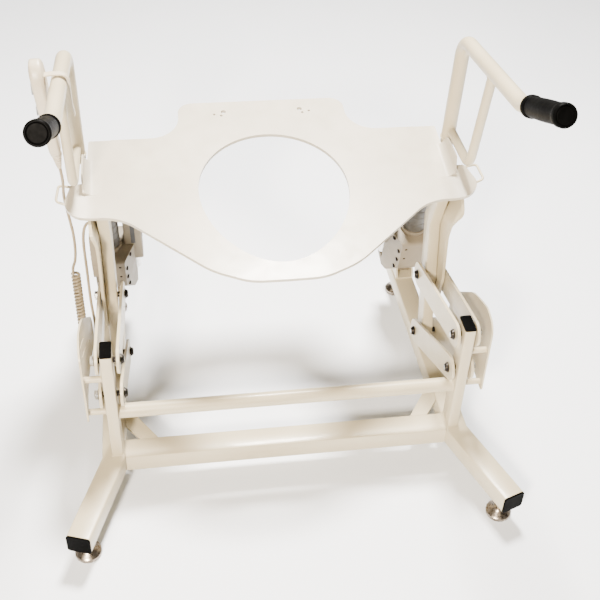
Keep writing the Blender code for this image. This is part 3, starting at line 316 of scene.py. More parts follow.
def sweep(path, section, side, grow=None):
    """Carries a section along a path with mitred corners and closed ends."""
    path = [Vector(p) for p in path]
    steps = [(b - a).normalized() for a, b in zip(path, path[1:])]
    side = Vector(side)
    bm = bmesh.new()
    rings = []
    for i, point in enumerate(path):
        came = steps[max(i - 1, 0)]
        goes = steps[min(i, len(steps) - 1)]
        normal = (came + goes).normalized()
        across = (side - came * side.dot(came)).normalized()
        up = came.cross(across)
        size = grow(i / (len(path) - 1)) if grow else 1.0
        ring = []
        for a, b in section:
            offset = (across * a + up * b) * size
            slide = -offset.dot(normal) / came.dot(normal)
            ring.append(bm.verts.new(point + offset + came * slide))
        rings.append(ring)
    join_rings(bm, rings)
    bm.faces.new(rings[0])
    bm.faces.new(rings[-1])
    return bm


def round_section(radius, count=32):
    return [(p.x, p.y) for p in circle((0.0, 0.0), radius, count)]


def box_section(wide, high, corner=0.0, steps=4):
    w, h = wide / 2.0, high / 2.0
    points = [(-w, -h), (w, -h), (w, h), (-w, h)]
    return [(p.x, p.y) for p in (rounded(points, corner, steps) if corner else map(Vector, points))]


def turned(profile, middle, axis, count=40, shape=None):
    """A turned piece: profile is (distance along the axis, radius). shape(angle) may vary the radius."""
    axis = Vector(axis).normalized()
    across = Vector((0.0, 0.0, 1.0)) if abs(axis.z) < 0.9 else Vector((1.0, 0.0, 0.0))
    across = (across - axis * across.dot(axis)).normalized()
    other = axis.cross(across)
    bm = bmesh.new()
    rings = []
    for distance, radius in profile:
        centre = Vector(middle) + axis * distance
        if radius == 0.0:
            rings.append([bm.verts.new(centre)])
            continue
        ring = []
        for k in range(count):
            turn = 2.0 * pi * k / count
            reach = radius * (shape(turn) if shape else 1.0)
            ring.append(bm.verts.new(centre + (across * cos(turn) + other * sin(turn)) * reach))
        rings.append(ring)
    join_rings(bm, rings)
    for ring in (rings[0], rings[-1]):
        if len(ring) > 1:
            bm.faces.new(ring)
    return bm


def hexagon(turn):
    """Radius of a hexagon about its inscribed circle."""
    return 1.0 / cos((turn + pi / 6.0) % (pi / 3.0) - pi / 6.0)


def piece(name, bm, mat, body, replaces=(), bevel=0.0, sharp=35.0):
    """Makes an object of the lift that rides on a body."""
    bmesh.ops.recalc_face_normals(bm, faces=bm.faces)
    mesh = bpy.data.meshes.new(name)
    bm.to_mesh(mesh)
    bm.free()
    mesh.shade_smooth()
    mesh.set_sharp_from_angle(angle=radians(sharp))
    mesh.materials.append(mat)
    obj = bpy.data.objects.new(name, mesh)
    bpy.context.scene.collection.objects.link(obj)
    if bevel:
        add_bevel(obj, bevel)
    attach(obj, body)
    if replaces:
        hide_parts(*replaces)


def add_bevel(obj, width):
    bevel = obj.modifiers.new("rounded_edges", "BEVEL")
    bevel.width = width
    bevel.segments = 2
    bevel.limit_method = "ANGLE"
    bevel.angle_limit = radians(34.0)
    bevel.harden_normals = True


def joined(*meshes):
    """Several meshes as one."""
    whole = bmesh.new()
    for bm in meshes:
        part = bpy.data.meshes.new("part")
        bmesh.ops.recalc_face_normals(bm, faces=bm.faces)
        bm.to_mesh(part)
        bm.free()
        whole.from_mesh(part)
        bpy.data.meshes.remove(part)
    return whole


# ---------------------------------------------------------------- handset cord

# The route's points are chosen, and the CAD part has the same ones
HANDSET_CORD = [
    (-0.3466, 0.0482, 0.5210), (-0.3462, 0.0510, 0.5080), (-0.3470, 0.0620, 0.4860),
    (-0.3500, 0.0780, 0.4590), (-0.3516, 0.0880, 0.4380), (-0.3505, 0.0915, 0.4150),
    (-0.3480, 0.0905, 0.3900), (-0.3450, 0.0850, 0.3650), (-0.3445, 0.0780, 0.3380),
    (-0.3470, 0.0735, 0.3170), (-0.3520, 0.0740, 0.3020), (-0.3520, 0.0790, 0.2900),
    (-0.3510, 0.0840, 0.2815),
]
CURL_TOP = Vector((-0.3507, 0.0845, 0.2800))
CURL_BOTTOM = Vector((-0.3500, 0.0690, 0.1500))
HANDSET_TAIL = [
    (-0.3500, 0.0688, 0.1485), (-0.3496, 0.0665, 0.1390), (-0.3470, 0.0635, 0.1310),
    (-0.3410, 0.0605, 0.1265), (-0.3340, 0.0580, 0.1275), (-0.3290, 0.0560, 0.1350),
    (-0.3265, 0.0545, 0.1500), (-0.3255, 0.0545, 0.1700), (-0.3265, 0.0575, 0.1950),
    (-0.3285, 0.0640, 0.2200), (-0.3295, 0.0700, 0.2450), (-0.3295, 0.0740, 0.2750),
    (-0.3295, 0.0760, 0.3050), (-0.3295, 0.0760, 0.3350), (-0.3285, 0.0765, 0.3600),
    (-0.3250, 0.0775, 0.3800), (-0.3185, 0.0790, 0.3900), (-0.3145, 0.0805, 0.3840),
    (-0.3135, 0.0810, 0.3690),
]


def smooth_route(points, per_span=4):
    """A Catmull-Rom curve through the route's points."""
    points = [Vector(p) for p in points]
    padded = [points[0] * 2.0 - points[1]] + points + [points[-1] * 2.0 - points[-2]]
    route = []
    for a, b, c, d in zip(padded, padded[1:], padded[2:], padded[3:]):
        for k in range(per_span):
            t = k / per_span
            route.append(0.5 * ((2.0 * b) + (c - a) * t + (2.0 * a - 5.0 * b + 4.0 * c - d) * t * t
                                + (3.0 * b - a - 3.0 * c + d) * t ** 3))
    route.append(points[-1])
    return route


def curl_route():
    """The helix, with a quarter turn into it and out of it along the cord's straight stretches."""
    run = CURL_BOTTOM - CURL_TOP
    down = run.normalized()
    across = (Vector((1.0, 0.0, 0.0)) - down * down.x).normalized()
    other = down.cross(across)
    radius = (CURL_DIAMETER - CORD_DIAMETER) / 2.0
    total = 2.0 * pi * (CURL_TURNS + (CURL_LEAVES - CURL_ENTERS) / 360.0)
    count = CURL_TURNS * 14
    helix = []
    for k in range(count + 1):
        turn = radians(CURL_ENTERS) + total * k / count
        helix.append(CURL_TOP + run * (k / count) + (across * cos(turn) + other * sin(turn)) * radius)
    enter = (helix[1] - helix[0]).normalized()
    leave = (helix[-1] - helix[-2]).normalized()
    bends = [pi / 2.0, pi / 3.0, pi / 6.0]
    lead_in = [helix[0] - (enter * sin(a) + down * (1.0 - cos(a))) * radius for a in bends]
    lead_out = [helix[-1] + (leave * sin(a) + down * (1.0 - cos(a))) * radius for a in reversed(bends)]
    return lead_in + helix + lead_out


def make_cord():
    curl = curl_route()
    # The two route points on each side of the curl give way to its quarter turns
    straight = smooth_route([*HANDSET_CORD[:-2], curl[0]])
    route = straight + curl[1:-1] + smooth_route([curl[-1], *HANDSET_TAIL[2:]])
    curve = bpy.data.curves.new("handset_cord_whole", "CURVE")
    curve.dimensions = "3D"
    curve.bevel_depth = CORD_DIAMETER / 2.0
    curve.bevel_resolution = 3
    curve.use_fill_caps = True
    spline = curve.splines.new("POLY")
    spline.points.add(len(route) - 1)
    for point, place in zip(spline.points, route):
        point.co = (*place, 1.0)
    spline.use_smooth = True
    curve.materials.append(CORD_SKIN)
    cord = bpy.data.objects.new("handset_cord_whole", curve)
    bpy.context.scene.collection.objects.link(cord)
    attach(cord, "carriage")
    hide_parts("handset_cord", "handset_curl", "handset_tail")


make_cord()


# ---------------------------------------------------------------- seat plate

def seat_outline():
    """Half of the seat plate's outline from the middle of the back to the middle of the front."""
    points = [
        (0.0, 0.026), (0.1525, 0.026), (0.1525, -0.0625), (0.312, -0.0640), (0.3140, -0.1120),
        (0.3215, -0.1120), (0.3215, -0.1700), (0.3400, -0.1760), (0.3500, -0.2180), (0.3480, -0.2490),
        (0.2620, -0.2490), (0.1200, -0.3760), (0.0600, -0.4030), (0.0, -0.4040),
    ]
    radii = [0.0, 0.026, 0.052, 0.004, 0.002, 0.001, 0.004, 0.010, 0.020, 0.026, 0.085, 0.150, 0.100, 0.0]
    return rounded(points, radii, 18, False)


def aperture_outline(count=144):
    points = []
    for k in range(count):
        turn = 2.0 * pi * k / count
        s = sin(turn)
        reach = APERTURE_BACK if s > 0.0 else APERTURE_FRONT
        narrow = 1.0 if s > 0.0 else 1.0 - 0.10 * s * s
        points.append((APERTURE_HALF_WIDE * narrow * cos(turn), APERTURE_MIDDLE_V + reach * s))
    return points


def wing_height(x):
    run = max(abs(x) - WING_FOLD_X, 0.0) / (WING_EDGE_X - WING_FOLD_X)
    return WING_RISE * run * run


def make_seat():
    half = seat_outline()
    outline = half + [Vector((-p.x, p.y)) for p in reversed(half[1:-1])]
    holes = [aperture_outline()]
    for _, sign in SIDES:
        holes.append(circle((sign * HINGE_HOLE_X, -0.001), HINGE_HOLE_RADIUS, 24))
        holes.append(circle((sign * (HINGE_HOLE_X + 0.017), -0.007), SCREW_HOLE_RADIUS, 16))
        holes.append(circle((sign * (HINGE_HOLE_X + 0.0045), -0.0108), SCREW_HOLE_RADIUS, 16))
    bm = prism(outline, -SEAT_THICK, 0.0, along_z, holes)
    # Cuts through each wing, so that it can curve up
    for _, sign in SIDES:
        for k in range(14):
            geom = list(bm.verts) + list(bm.edges) + list(bm.faces)
            bmesh.ops.bisect_plane(bm, geom=geom, dist=1e-6, plane_no=(1, 0, 0),
                                   plane_co=(sign * (WING_FOLD_X - 0.006 + 0.004 * k), 0, 0))
    for vert in bm.verts:
        vert.co.z += wing_height(vert.co.x)
        vert.co = seat_point(*vert.co)
    piece("seat", bm, SEAT_COAT, "carriage", ["seat_plate"], 0.0012)


def make_flange(side, sign):
    """The bent-up edge beside an arm: a strip that curves from the plate to upright."""
    bend = 0.017
    thick = 0.0028
    outer_x = 0.3212
    bm = bmesh.new()
    rings = []
    count = 24
    for k in range(count + 1):
        t = k / count
        v = FLANGE_BACK_V - t * FLANGE_LONG
        fall = min(1.0, max(0.0, (t - 0.80) / 0.20))
        top = (0.021 + 0.013 * min(1.0, t * 1.25) ** 0.8) * (1.0 - 0.78 * fall * fall * (3.0 - 2.0 * fall))
        corner = 0.006 * max(0.0, 1.0 - t * 9.0) ** 2
        inner = [(outer_x - bend - 0.016, 0.0)]
        for j in range(9):
            turn = pi / 2.0 * j / 8
            inner.append((outer_x - bend + (bend - thick) * sin(turn),
                          bend - thick - (bend - thick) * cos(turn) + 0.0003))
        inner = [(x, min(w, top - corner - 0.0004)) for x, w in inner]
        inner.append((outer_x - thick, top - corner))
        outer = [(outer_x, top - corner), (outer_x, 0.004), (outer_x - bend, -0.002)]
        rings.append([bm.verts.new(seat_point(sign * x, v, w)) for x, w in inner + outer])
    join_rings(bm, rings)
    bm.faces.new(rings[0])
    bm.faces.new(rings[-1])
    piece(side + "_flange", bm, SEAT_COAT, "carriage", bevel=0.0008)


def make_wire_loop(side, sign):
    wire = rounded([(sign * 0.3370, -0.1800, 0.0042), (sign * 0.3600, -0.1800, 0.0110),
                    (sign * 0.3640, -0.2180, 0.0120), (sign * 0.3460, -0.2230, 0.0075)],
                   [0.0, 0.007, 0.007, 0.0], 8, False)
    path = [seat_point(*p) for p in wire]
    bm = sweep(path, round_section(0.0022, 16), (0, 0, 1))
    piece(side + "_cord_loop", bm, SHADE_WARMED_COAT, "carriage")


# ---------------------------------------------------------------- arms and grips

def arm_points(side, sign):
    return [
        Vector((sign * 0.3292, -0.0990, -0.010)),
        Vector((sign * 0.3280, -0.0750, 0.200)),
        Vector((sign * 0.3310, -0.3410, 0.2853)),
        Vector((sign * 0.3320, -0.4660, 0.3770 + GRIP_END_LIFT[side])),
    ]


def bead_section(bm, middle, out, up, size):
    """One ring of vertices around a weld bead."""
    turns = [2.0 * pi * k / BEAD_SIDES for k in range(BEAD_SIDES)]
    return [bm.verts.new(middle + (out * cos(a) + up * sin(a)) * size) for a in turns]


def weld_ring(middle, axis, radius, bead):
    """An uneven bead of weld around a round joint."""
    axis = Vector(axis).normalized()
    across = axis.orthogonal().normalized()
    other = axis.cross(across)
    bm = bmesh.new()
    rings = []
    for k in range(BEAD_STEPS):
        turn = 2.0 * pi * k / BEAD_STEPS
        outward = across * cos(turn) + other * sin(turn)
        size = bead * (1.0 + 0.16 * sin(turn * 15.0) + 0.12 * sin(turn * 4.0 + 1.0))
        rings.append(bead_section(bm, Vector(middle) + outward * radius, outward, axis, size))
    join_rings(bm, rings, closed=True)
    return bm


def saddle_weld(origin, axis, radius, middle, way, tube_radius, bead):
    """A bead where a tube of tube_radius runs along axis into the side of a larger tube."""
    axis, way = Vector(axis).normalized(), Vector(way).normalized()
    across = axis.orthogonal().normalized()
    other = axis.cross(across)
    seam = []
    for k in range(BEAD_STEPS):
        turn = 2.0 * pi * k / BEAD_STEPS
        start = Vector(origin) + (across * cos(turn) + other * sin(turn)) * tube_radius
        flat_start = (start - middle) - way * (start - middle).dot(way)
        flat_axis = axis - way * axis.dot(way)
        a = flat_axis.length_squared
        b = flat_start.dot(flat_axis)
        c = flat_start.length_squared - radius * radius
        seam.append(start + axis * ((-b + max(0.0, b * b - a * c) ** 0.5) / a))
    bm = bmesh.new()
    rings = []
    for k, point in enumerate(seam):
        along = (seam[(k + 1) % BEAD_STEPS] - seam[k - 1]).normalized()
        out = (point - Vector(origin) - axis * (point - Vector(origin)).dot(axis)).normalized()
        up = along.cross(out)
        size = bead * (1.0 + 0.15 * sin(k * 1.9) + 0.10 * sin(k * 0.7 + 1.0))
        rings.append(bead_section(bm, point, out, up, size))
    join_rings(bm, rings, closed=True)
    return bm


def make_arm(side, sign):
    path = rounded(arm_points(side, sign), [0.0, 0.040, 0.050, 0.0], 16, False)
    path = [seat_point(*p) for p in path]
    tube = sweep(path, round_section(ARM_RADIUS, 36), (1, 0, 0))
    corners = [(sign * 0.3300, -0.0980, 0.0225), (sign * 0.3315, -0.2170, 0.0440),
               (sign * 0.3300, -0.2190, 0.2460)]
    low = [seat_point(*p) for p in rounded(corners, [0.0, 0.028, 0.0], 16, False)]
    loop = sweep(low, round_section(LOOP_RADIUS, 28), (1, 0, 0))
    foot = seat_point(sign * 0.3291, -0.0978, 0.004)
    beads = [weld_ring(foot, path[1] - path[0], ARM_RADIUS - 0.0005, 0.0022)]
    points = [seat_point(*p) for p in arm_points(side, sign)]
    beads.append(saddle_weld(low[-1], low[-2] - low[-1], ARM_RADIUS, points[1], points[2] - points[1],
                             LOOP_RADIUS, 0.0013))
    beads.append(saddle_weld(low[0], low[1] - low[0], ARM_RADIUS, points[0], points[1] - points[0],
                             LOOP_RADIUS, 0.0013))
    piece(side + "_arm_tube", joined(tube, loop, *beads), SHADE_WARMED_COAT, "carriage",
          [side + "_arm"])


def make_grip(side, sign):
    """A rubber grip with a rim at each end and a ringed end face."""
    points = [seat_point(*p) for p in arm_points(side, sign)]
    outward = (points[3] - points[2]).normalized()
    start = 0.004 - GRIP_LONG
    profile = [(start, 0.0128), (start, 0.0158), (start + 0.0012, 0.0168), (start + 0.0088, 0.0168)]
    profile += [(start + 0.0100, 0.0160), (start + 0.0125, 0.0150)]
    for k in range(17):
        t = k / 16
        profile.append((start + 0.0125 + t * (GRIP_LONG - 0.0290), 0.0149 + 0.0009 * sin(pi * t)))
    profile += [
        (-0.0115, 0.0151), (-0.0095, 0.0164), (-0.0080, 0.0170), (0.0010, 0.0170), (0.0030, 0.0163),
        (0.0040, 0.0150), (0.0040, 0.0139), (0.0022, 0.0134), (0.0020, 0.0130), (0.0032, 0.0125),
        (0.0035, 0.0118), (0.0035, 0.0112), (0.0035, 0.0),
    ]
    bm = turned(profile, points[3], outward, 56)
    piece(side + "_hand_grip", bm, RUBBER, "carriage", [side + "_grip"])


# ---------------------------------------------------------------- handset

def handset_ring(t, half_thick_at, half_wide_at, count=40):
    """One level of the handset's rounded body; t runs from its lower to its upper end."""
    middle = HANDSET_BOTTOM.lerp(HANDSET_TOP, t)
    power = 0.50  # 1.0 would be an ellipse, and 0.0 a rectangle
    ring = []
    for k in range(count):
        turn = 2.0 * pi * k / count
        c, s = cos(turn), sin(turn)
        x = half_thick_at * (abs(c) ** power) * (1 if c > 0 else -1)
        y = half_wide_at * (abs(s) ** power) * (1 if s > 0 else -1)
        ring.append(middle + Vector((x, y, 0.0)))
    return ring


def make_handset():
    bm = bmesh.new()
    rings = []
    half_wide, half_thick = HANDSET_WIDE / 2.0, HANDSET_THICK / 2.0
    levels = 44
    # The body narrows towards its lower end, and both ends are rounded
    for k in range(levels + 1):
        t = k / levels
        wide = 0.68 + 0.32 * min(1.0, t / 0.55) ** 1.3
        if t > 0.76:
            wide *= max(0.0, 1.0 - ((t - 0.76) / 0.24) ** 2) ** 0.5
        if t < 0.05:
            wide *= 0.80 + 0.20 * (t / 0.05) ** 0.5
        thick = 0.80 + 0.20 * t
        if t > 0.86:
            thick *= max(0.0, 1.0 - ((t - 0.86) / 0.14) ** 2) ** 0.5 * 0.45 + 0.55
        if t < 0.05:
            thick *= 0.75 + 0.25 * (t / 0.05) ** 0.5
        points = handset_ring(t, half_thick * thick, half_wide * max(wide, 0.02))
        rings.append([bm.verts.new(p) for p in points])
    join_rings(bm, rings)
    bm.faces.new(rings[0])
    bm.faces.new(rings[-1])
    piece("handset_shell", bm, IVORY, "carriage", ["handset_body"], sharp=60.0)
    lean = (HANDSET_TOP - HANDSET_BOTTOM).normalized()
    for name, drop in (("up", 0.045), ("down", 0.080)):
        place = HANDSET_TOP - lean * drop
        collar = turned([(0.0, 0.0108), (0.0016, 0.0106), (0.0018, 0.0098), (0.0, 0.0096)],
                        place - Vector((HANDSET_THICK / 2.0 - 0.0002, 0, 0)), (-1, 0, 0.07), 40)
        piece("handset_" + name + "_collar", collar, KEY_GREY, "carriage")
        flip = 1.0 if name == "up" else -1.0
        arrow = [(-0.0042, -0.0026 * flip), (0.0042, -0.0026 * flip), (0.0, 0.0040 * flip)]
        face = place - Vector((HANDSET_THICK / 2.0 + 0.0023, 0, 0))
        mark = prism(rounded(arrow, 0.0005, 3), -0.0004, 0.0002,
                     lambda a, b, h, f=face: f + Vector((h, a, b)))
        piece("handset_" + name + "_arrow", mark, IVORY, name + "_button")


def make_strap():
    """The springy strap that hooks the handset over the arm."""
    strap = rounded([(-0.3530, HOOK_Y, 0.6855), (-0.3400, HOOK_Y, 0.6875), (-0.3147, HOOK_Y, 0.6875),
                     (-0.3145, HOOK_Y, 0.6400), (-0.3120, HOOK_Y, 0.6180)],
                    [0.0, 0.020, 0.0115, 0.030, 0.0], 12, False)
    outline = box_section(0.012, 0.0030, 0.0012, 3)
    bm = sweep(strap, outline, (0, 1, 0), lambda t: 1.0 - 0.25 * t * t)
    piece("handset_strap", bm, IVORY, "carriage")


def make_strain_relief():
    """Tapered ribs where the cord leaves the handset."""
    down = (HANDSET_BOTTOM - HANDSET_TOP).normalized()
    profile = [(-0.003, 0.0078), (0.0015, 0.0088), (0.0042, 0.0088), (0.0050, 0.0072)]
    for k in range(5):
        at = 0.0058 + 0.0044 * k
        radius = 0.0076 - 0.0008 * k
        profile += [(at, radius), (at + 0.0024, radius - 0.0003), (at + 0.0028, radius - 0.0018),
                    (at + 0.0040, radius - 0.0019)]
    profile += [(0.0282, 0.0036), (0.0285, 0.0026)]
    piece("handset_relief", turned(profile, HANDSET_BOTTOM, down, 32), IVORY, "carriage")


# ---------------------------------------------------------------- bolts

def make_bolt(node, body, sign):
    """A bolt through a pivot: domed head with a bright middle inside, washers, hexagon nut outside."""
    low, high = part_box(node)
    middle = (low + high) / 2.0
    near, far = (low.x, high.x) if sign > 0 else (high.x, low.x)
    start = Vector((near, middle.y, middle.z))
    end = Vector((far, middle.y, middle.z))
    long = (end - start).length
    out = Vector((sign, 0, 0))
    shank = turned([(0.004, 0.0), (0.004, 0.0049), (long - 0.004, 0.0049), (long - 0.004, 0.0)],
                   start, out, 28)
    washer = turned([(0.0046, 0.0), (0.0046, 0.0090), (0.0062, 0.0092), (0.0062, 0.0)], start, out)
    dome = turned([(0.0048, 0.0), (0.0048, 0.0076), (0.0030, 0.0074), (0.0012, 0.0062), (0.0004, 0.0050),
                   (0.0004, 0.0041), (0.0018, 0.0036), (0.0018, 0.0)], start, out, 40)
    nut_washer = turned([(0.0064, 0.0), (0.0064, 0.0092), (0.0080, 0.0090), (0.0080, 0.0)],
                        end, -out, 40)
    name = node.replace("_pin", "_bolt")
    piece(name, joined(shank, washer, dome, nut_washer), DARK_STEEL, body, [node])
    core = turned([(0.0002, 0.0), (0.0002, 0.0040), (0.0008, 0.0046), (0.0020, 0.0048), (0.0020, 0.0)],
                  start, out, 32)
    nut = turned([(0.0062, 0.0), (0.0062, 0.0068), (0.0016, 0.0068), (0.0008, 0.0060),
                  (0.0008, 0.0)], end, -out, 48, hexagon)
    tip = turned([(0.0010, 0.0), (0.0010, 0.0044), (0.0002, 0.0040), (0.0002, 0.0)], end, -out, 24)
    piece(name + "_bright", joined(core, nut, tip), BRIGHT_STEEL, body)


# ---------------------------------------------------------------- guards

def make_guard(side, sign):
    """A thin rounded shield that bulges outwards, on its two rods."""
    corners = [
        (-0.163, 0.160), (-0.161, 0.304), (-0.110, 0.302), (-0.030, 0.272),
        (0.052, 0.206), (0.052, 0.146), (-0.090, 0.150),
    ]
    outline = rounded(corners, [0.004, 0.022, 0.060, 0.080, 0.030, 0.020, 0.060], 12)
    slots = []
    if side == "left":
        for start, end in (((-0.112, 0.279), (-0.042, 0.241)), ((-0.094, 0.244), (0.008, 0.189))):
            start, end = Vector(start), Vector(end)
            across = Vector((start.y - end.y, end.x - start.x)).normalized() * 0.0014
            slots.append([start - across, end - across, end + across, start + across])
    bm = prism(outline, GUARD_INNER_X, GUARD_OUTER_X, along_x, slots)
    # Cuts through the shield, so that it can bulge
    for k in range(1, 14):
        geom = list(bm.verts) + list(bm.edges) + list(bm.faces)
        bmesh.ops.bisect_plane(bm, geom=geom, dist=1e-6, plane_no=(0, 1, 0),
                               plane_co=(0, GUARD_FRONT + 0.0155 * k, 0))
    for vert in bm.verts:
        t = min(1.0, max(0.0, (vert.co.y - GUARD_FRONT) / GUARD_LONG))
        bulge = 0.005 * sin(pi * t) if side == "left" else 0.008 * sin(pi * t) ** 1.2
        turn_in = 0.0040 * t * t if side == "left" else 0.0
        vert.co.x = sign * (vert.co.x + bulge - turn_in)
    rods = []
    for z in (0.1685, 0.2430):
        start = Vector((sign * 0.3053, -0.148, z))
        rods.append(sweep([start, start + Vector((sign * 0.0305, 0, 0))],
                          round_section(0.0055, 24), (0, 1, 0)))
        rods.append(weld_ring(start + Vector((sign * 0.0006, 0, 0)), (1, 0, 0), 0.0053, 0.0013))
    piece(side + "_guard", joined(bm, *rods), SHADE_WARMED_COAT, "base",
          [side + "_side_guard"], 0.0007)


# ---------------------------------------------------------------- actuators

def on_actuator(x, run, ahead):
    """A point up an actuator from its lower eye, and ahead of its middle line."""
    return ACT_BASE + ACT_ALONG * run + ACT_FORWARD * ahead + Vector((x, 0.0, 0.0))


def make_actuator(side, sign):
    """Detail on the gearbox, the outer tube and the motor."""
    screws = []
    for run, ahead in ((0.064, 0.050), (0.090, 0.054), (0.116, 0.054), (0.136, 0.036)):
        # The gearbox's inner side slants outwards towards its front
        side_x = GEARBOX_INNER_X + GEARBOX_SLANT * max(0.0, ahead - SLANT_START) / SLANT_LONG
        place = on_actuator(sign * (side_x - 0.0012), run, ahead)
        screws.append(turned([(-0.0010, 0.0), (-0.0010, 0.0030), (0.0004, 0.0046), (0.0030, 0.0048),
                              (0.0030, 0.0)], place, (sign, 0, 0), 20))
    for run, ahead in ((0.100, 0.0625), (0.128, 0.0625)):
        for x in (0.279, 0.318):
            place = on_actuator(sign * x, run, ahead)
            screws.append(turned([(0.0, 0.0), (0.0, 0.0016), (-0.0006, 0.0028), (-0.0020, 0.0030),
                                  (-0.0020, 0.0)], place, ACT_FORWARD, 20))
    piece(side + "_gearbox_screws", joined(*screws), DARK_STEEL, "actuators")
    start = on_actuator(sign * MOTOR_X, GEARBOX_TOP + 0.0004, MOTOR_FORWARD)
    collar = turned([(0.0, 0.0), (0.0, 0.0270), (0.0060, 0.0270), (0.0078, 0.0260), (0.0080, 0.0)],
                    start, ACT_ALONG, 48)
    piece(side + "_motor_collar", collar, SHADE_DARKENED_BEIGE, "actuators")
    casing = [(0.006, 0.0), (0.006, 0.0238), (0.020, 0.0240)]
    for k in range(5):
        at = 0.030 + 0.018 * k
        casing += [(at, 0.0240), (at + 0.0008, 0.0233), (at + 0.0022, 0.0233), (at + 0.0030, 0.0240)]
    casing += [(0.132, 0.0240), (0.138, 0.0215), (0.140, 0.0170), (0.140, 0.0)]
    piece(side + "_motor_casing", turned(casing, start, ACT_ALONG, 48), SHADE_DARKENED_MOTOR_GREY, "actuators",
          [side + "_motor"])
    tube = []
    for offset, ahead in ((-0.0172, 0.0), (0.0172, 0.0), (0.0, 0.0182), (0.0, -0.0182)):
        low = on_actuator(sign * (ACT_X + offset), GEARBOX_TOP + 0.004, ahead)
        high = on_actuator(sign * (ACT_X + offset), TUBE_TOP - 0.002, ahead)
        outline = box_section(0.0012, 0.0080) if ahead == 0.0 else box_section(0.0080, 0.0012)
        tube.append(sweep([low, high], outline, (1, 0, 0)))
    piece(side + "_tube_slots", joined(*tube), SLOT_DARK, "actuators")


def make_connector_box():
    """The ribbed box on the left profile plate, with its gland."""
    low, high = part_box("connector_box")
    corners = [(0.070, 0.278), (0.092, 0.276), (0.104, 0.310), (0.106, 0.366), (0.064, 0.368),
               (0.062, 0.312)]
    outline = rounded(corners, [0.007, 0.007, 0.020, 0.008, 0.008, 0.020], 8)
    bm = prism(outline, low.x, high.x, along_x)
    gland = turned([(0.0, 0.0), (0.0, 0.0052), (0.004, 0.0052), (0.004, 0.0044), (0.008, 0.0040),
                    (0.008, 0.0)], (-0.3135, 0.0812, 0.3640), (0.02, 0.02, 1.0), 24)
    ribs = [prism(rounded([(0.0690, z), (0.1000, z), (0.1000, z + 0.003), (0.0690, z + 0.003)], 0.001, 3),
                  low.x - 0.0010, low.x + 0.001, along_x) for z in (0.318, 0.328, 0.338)]
    piece("connector_shell", joined(bm, gland, *ribs), SHADE_DARKENED_BEIGE, "carriage",
          ["connector_box"], 0.0015)


# ---------------------------------------------------------------- welds and frame detail

def weld_line(points, bead, seed):
    """An uneven bead along a straight or bent joint."""
    path = []
    for a, b in zip(points, points[1:]):
        a, b = Vector(a), Vector(b)
        count = max(2, int((b - a).length / 0.0022))
        path += [a.lerp(b, k / count) for k in range(count)]
    path.append(Vector(points[-1]))

    def grow(t):
        return 0.85 + 0.22 * noise.noise(Vector((t * len(path) * 0.55, seed, 0.3)))

    return sweep(path, round_section(bead, BEAD_SIDES), (0.31, 0.27, 0.91), grow)


def make_frame_welds():
    """Beads at the posts, the cross tube and the front bar, and under the seat."""
    for side, sign in SIDES:
        low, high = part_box(side + "_post")
        z = low.z + 0.0004
        ring = [(low.x, low.y, z), (high.x, low.y, z), (high.x, high.y, z), (low.x, high.y, z),
                (low.x, low.y, z)]
        cross_low, cross_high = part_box("base_cross_tube")
        seam_x = sign * (cross_high.x + 0.0002)
        top = cross_high.z - 0.0002
        seam = [(seam_x, cross_low.y + 0.003, top), (seam_x, -0.132, top)]
        bar_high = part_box("front_bar")[1]
        bar = weld_ring((sign * (bar_high.x - 0.0004), -0.148, 0.166), (1, 0, 0), 0.0123, 0.0014)
        bm = joined(weld_line(ring, 0.0013, 3.1 + sign), weld_line(seam, 0.0012, 5.7 + sign), bar)
        piece(side + "_base_weld", bm, SHADE_WARMED_COAT, "base")
        under = weld_line([(sign * 0.281, 0.047, 0.4205), (sign * 0.301, 0.047, 0.4205)], 0.0012, 2.2)
        piece(side + "_seat_weld", under, SHADE_WARMED_COAT, "carriage")


def dress_frame():
    """Gives every CAD node that stays its finish, and rounds its edges."""
    finishes = {
        "white_powder_coat": SHADE_WARMED_COAT, "black_plastic": CAP, "black_rubber": RUBBER,
        "dark_steel": BRONZE, "bright_steel": BRIGHT_STEEL, "beige_plastic": SHADE_DARKENED_BEIGE,
        "grey_plastic": KEY_GREY, "ivory_plastic": IVORY,
    }
    slots = {s["node"]: s["material_slot"] for s in frame["record"]["subparts"]}
    for name, obj in frame["nodes"].items():
        if obj.hide_render:
            continue
        obj.data.materials.clear()
        obj.data.materials.append(finishes[slots[name]])
        normals = obj.data.attributes.get("custom_normal")
        if normals:
            obj.data.attributes.remove(normals)
        obj.data.shade_smooth()
        weld = obj.modifiers.new("weld", "WELD")
        weld.merge_threshold = 0.00001
        add_bevel(obj, 0.0008 if slots[name] == "white_powder_coat" else 0.0005)


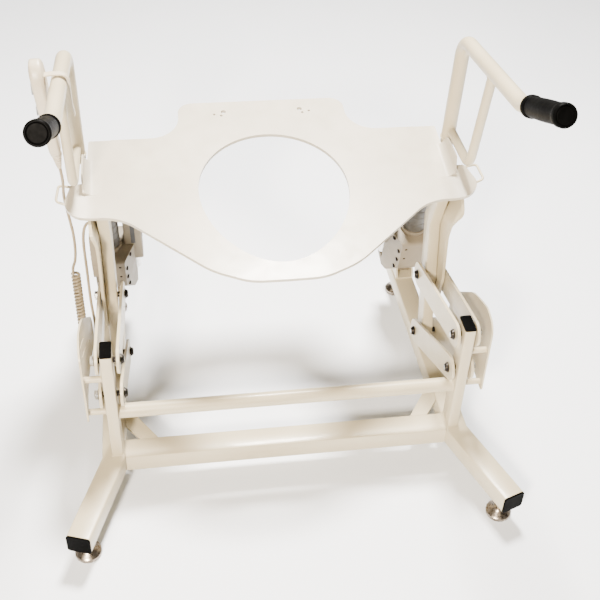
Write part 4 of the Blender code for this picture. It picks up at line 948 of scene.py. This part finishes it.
make_seat()
for SIDE, SIGN in SIDES:
    make_flange(SIDE, SIGN)
    make_wire_loop(SIDE, SIGN)
    make_arm(SIDE, SIGN)
    make_grip(SIDE, SIGN)
    make_guard(SIDE, SIGN)
    make_actuator(SIDE, SIGN)
    make_bolt(SIDE + "_upper_front_pin", "base", SIGN)
    make_bolt(SIDE + "_lower_front_pin", "base", SIGN)
    make_bolt(SIDE + "_upper_rear_pin", "carriage", SIGN)
    make_bolt(SIDE + "_lower_rear_pin", "lower_links", SIGN)
make_handset()
make_strap()
make_strain_relief()
make_connector_box()
make_frame_welds()
dress_frame()


# ---------------------------------------------------------------- studio

def make_studio():
    bm = bmesh.new()
    bmesh.ops.create_grid(bm, x_segments=1, y_segments=1, size=6.0)
    mesh = bpy.data.meshes.new("floor")
    bm.to_mesh(mesh)
    bm.free()
    floor = bpy.data.objects.new("floor", mesh)
    bpy.context.scene.collection.objects.link(floor)
    floor.location.z = -0.0005
    mesh.materials.append(finish_material("studio_floor", (0.79, 0.82, 0.88), (0.81, 0.84, 0.90),
                                          2.0, (0.7, 0.8), 200.0, 0.00002))
    world = bpy.data.worlds.new("studio")
    world.use_nodes = True
    tree = world.node_tree
    background = tree.nodes["Background"]
    place = tree.nodes.new("ShaderNodeTexCoord")
    split = tree.nodes.new("ShaderNodeSeparateXYZ")
    tree.links.new(place.outputs["Generated"], split.inputs["Vector"])
    # Bright at the horizon and dark overhead
    glow = add_ramp(tree, split.outputs["Z"], [(0.0, (0.92, 0.88, 0.80)), (0.25, (0.80, 0.74, 0.64)),
                                               (0.60, (0.06, 0.043, 0.025))])
    tree.links.new(glow, background.inputs["Color"])
    background.inputs["Strength"].default_value = 0.8
    bpy.context.scene.world = world
    for name, place, size, power, colour in (
        ("overhead", (0.3, 0.9, 2.7), 0.6, 410.0, (1.0, 0.955, 0.89)),
        ("front_left", (-0.8, -2.0, 1.7), 0.35, 215.0, (1.0, 0.89, 0.74)),
    ):
        data = bpy.data.lights.new(name, "AREA")
        data.shape = "DISK"
        data.size = size
        data.energy = power
        data.color = colour
        lamp = bpy.data.objects.new(name, data)
        lamp.location = place
        aim = Vector((0.0, 0.0, 0.35)) - Vector(place)
        lamp.rotation_euler = aim.to_track_quat("-Z", "Y").to_euler()
        bpy.context.scene.collection.objects.link(lamp)


make_studio()
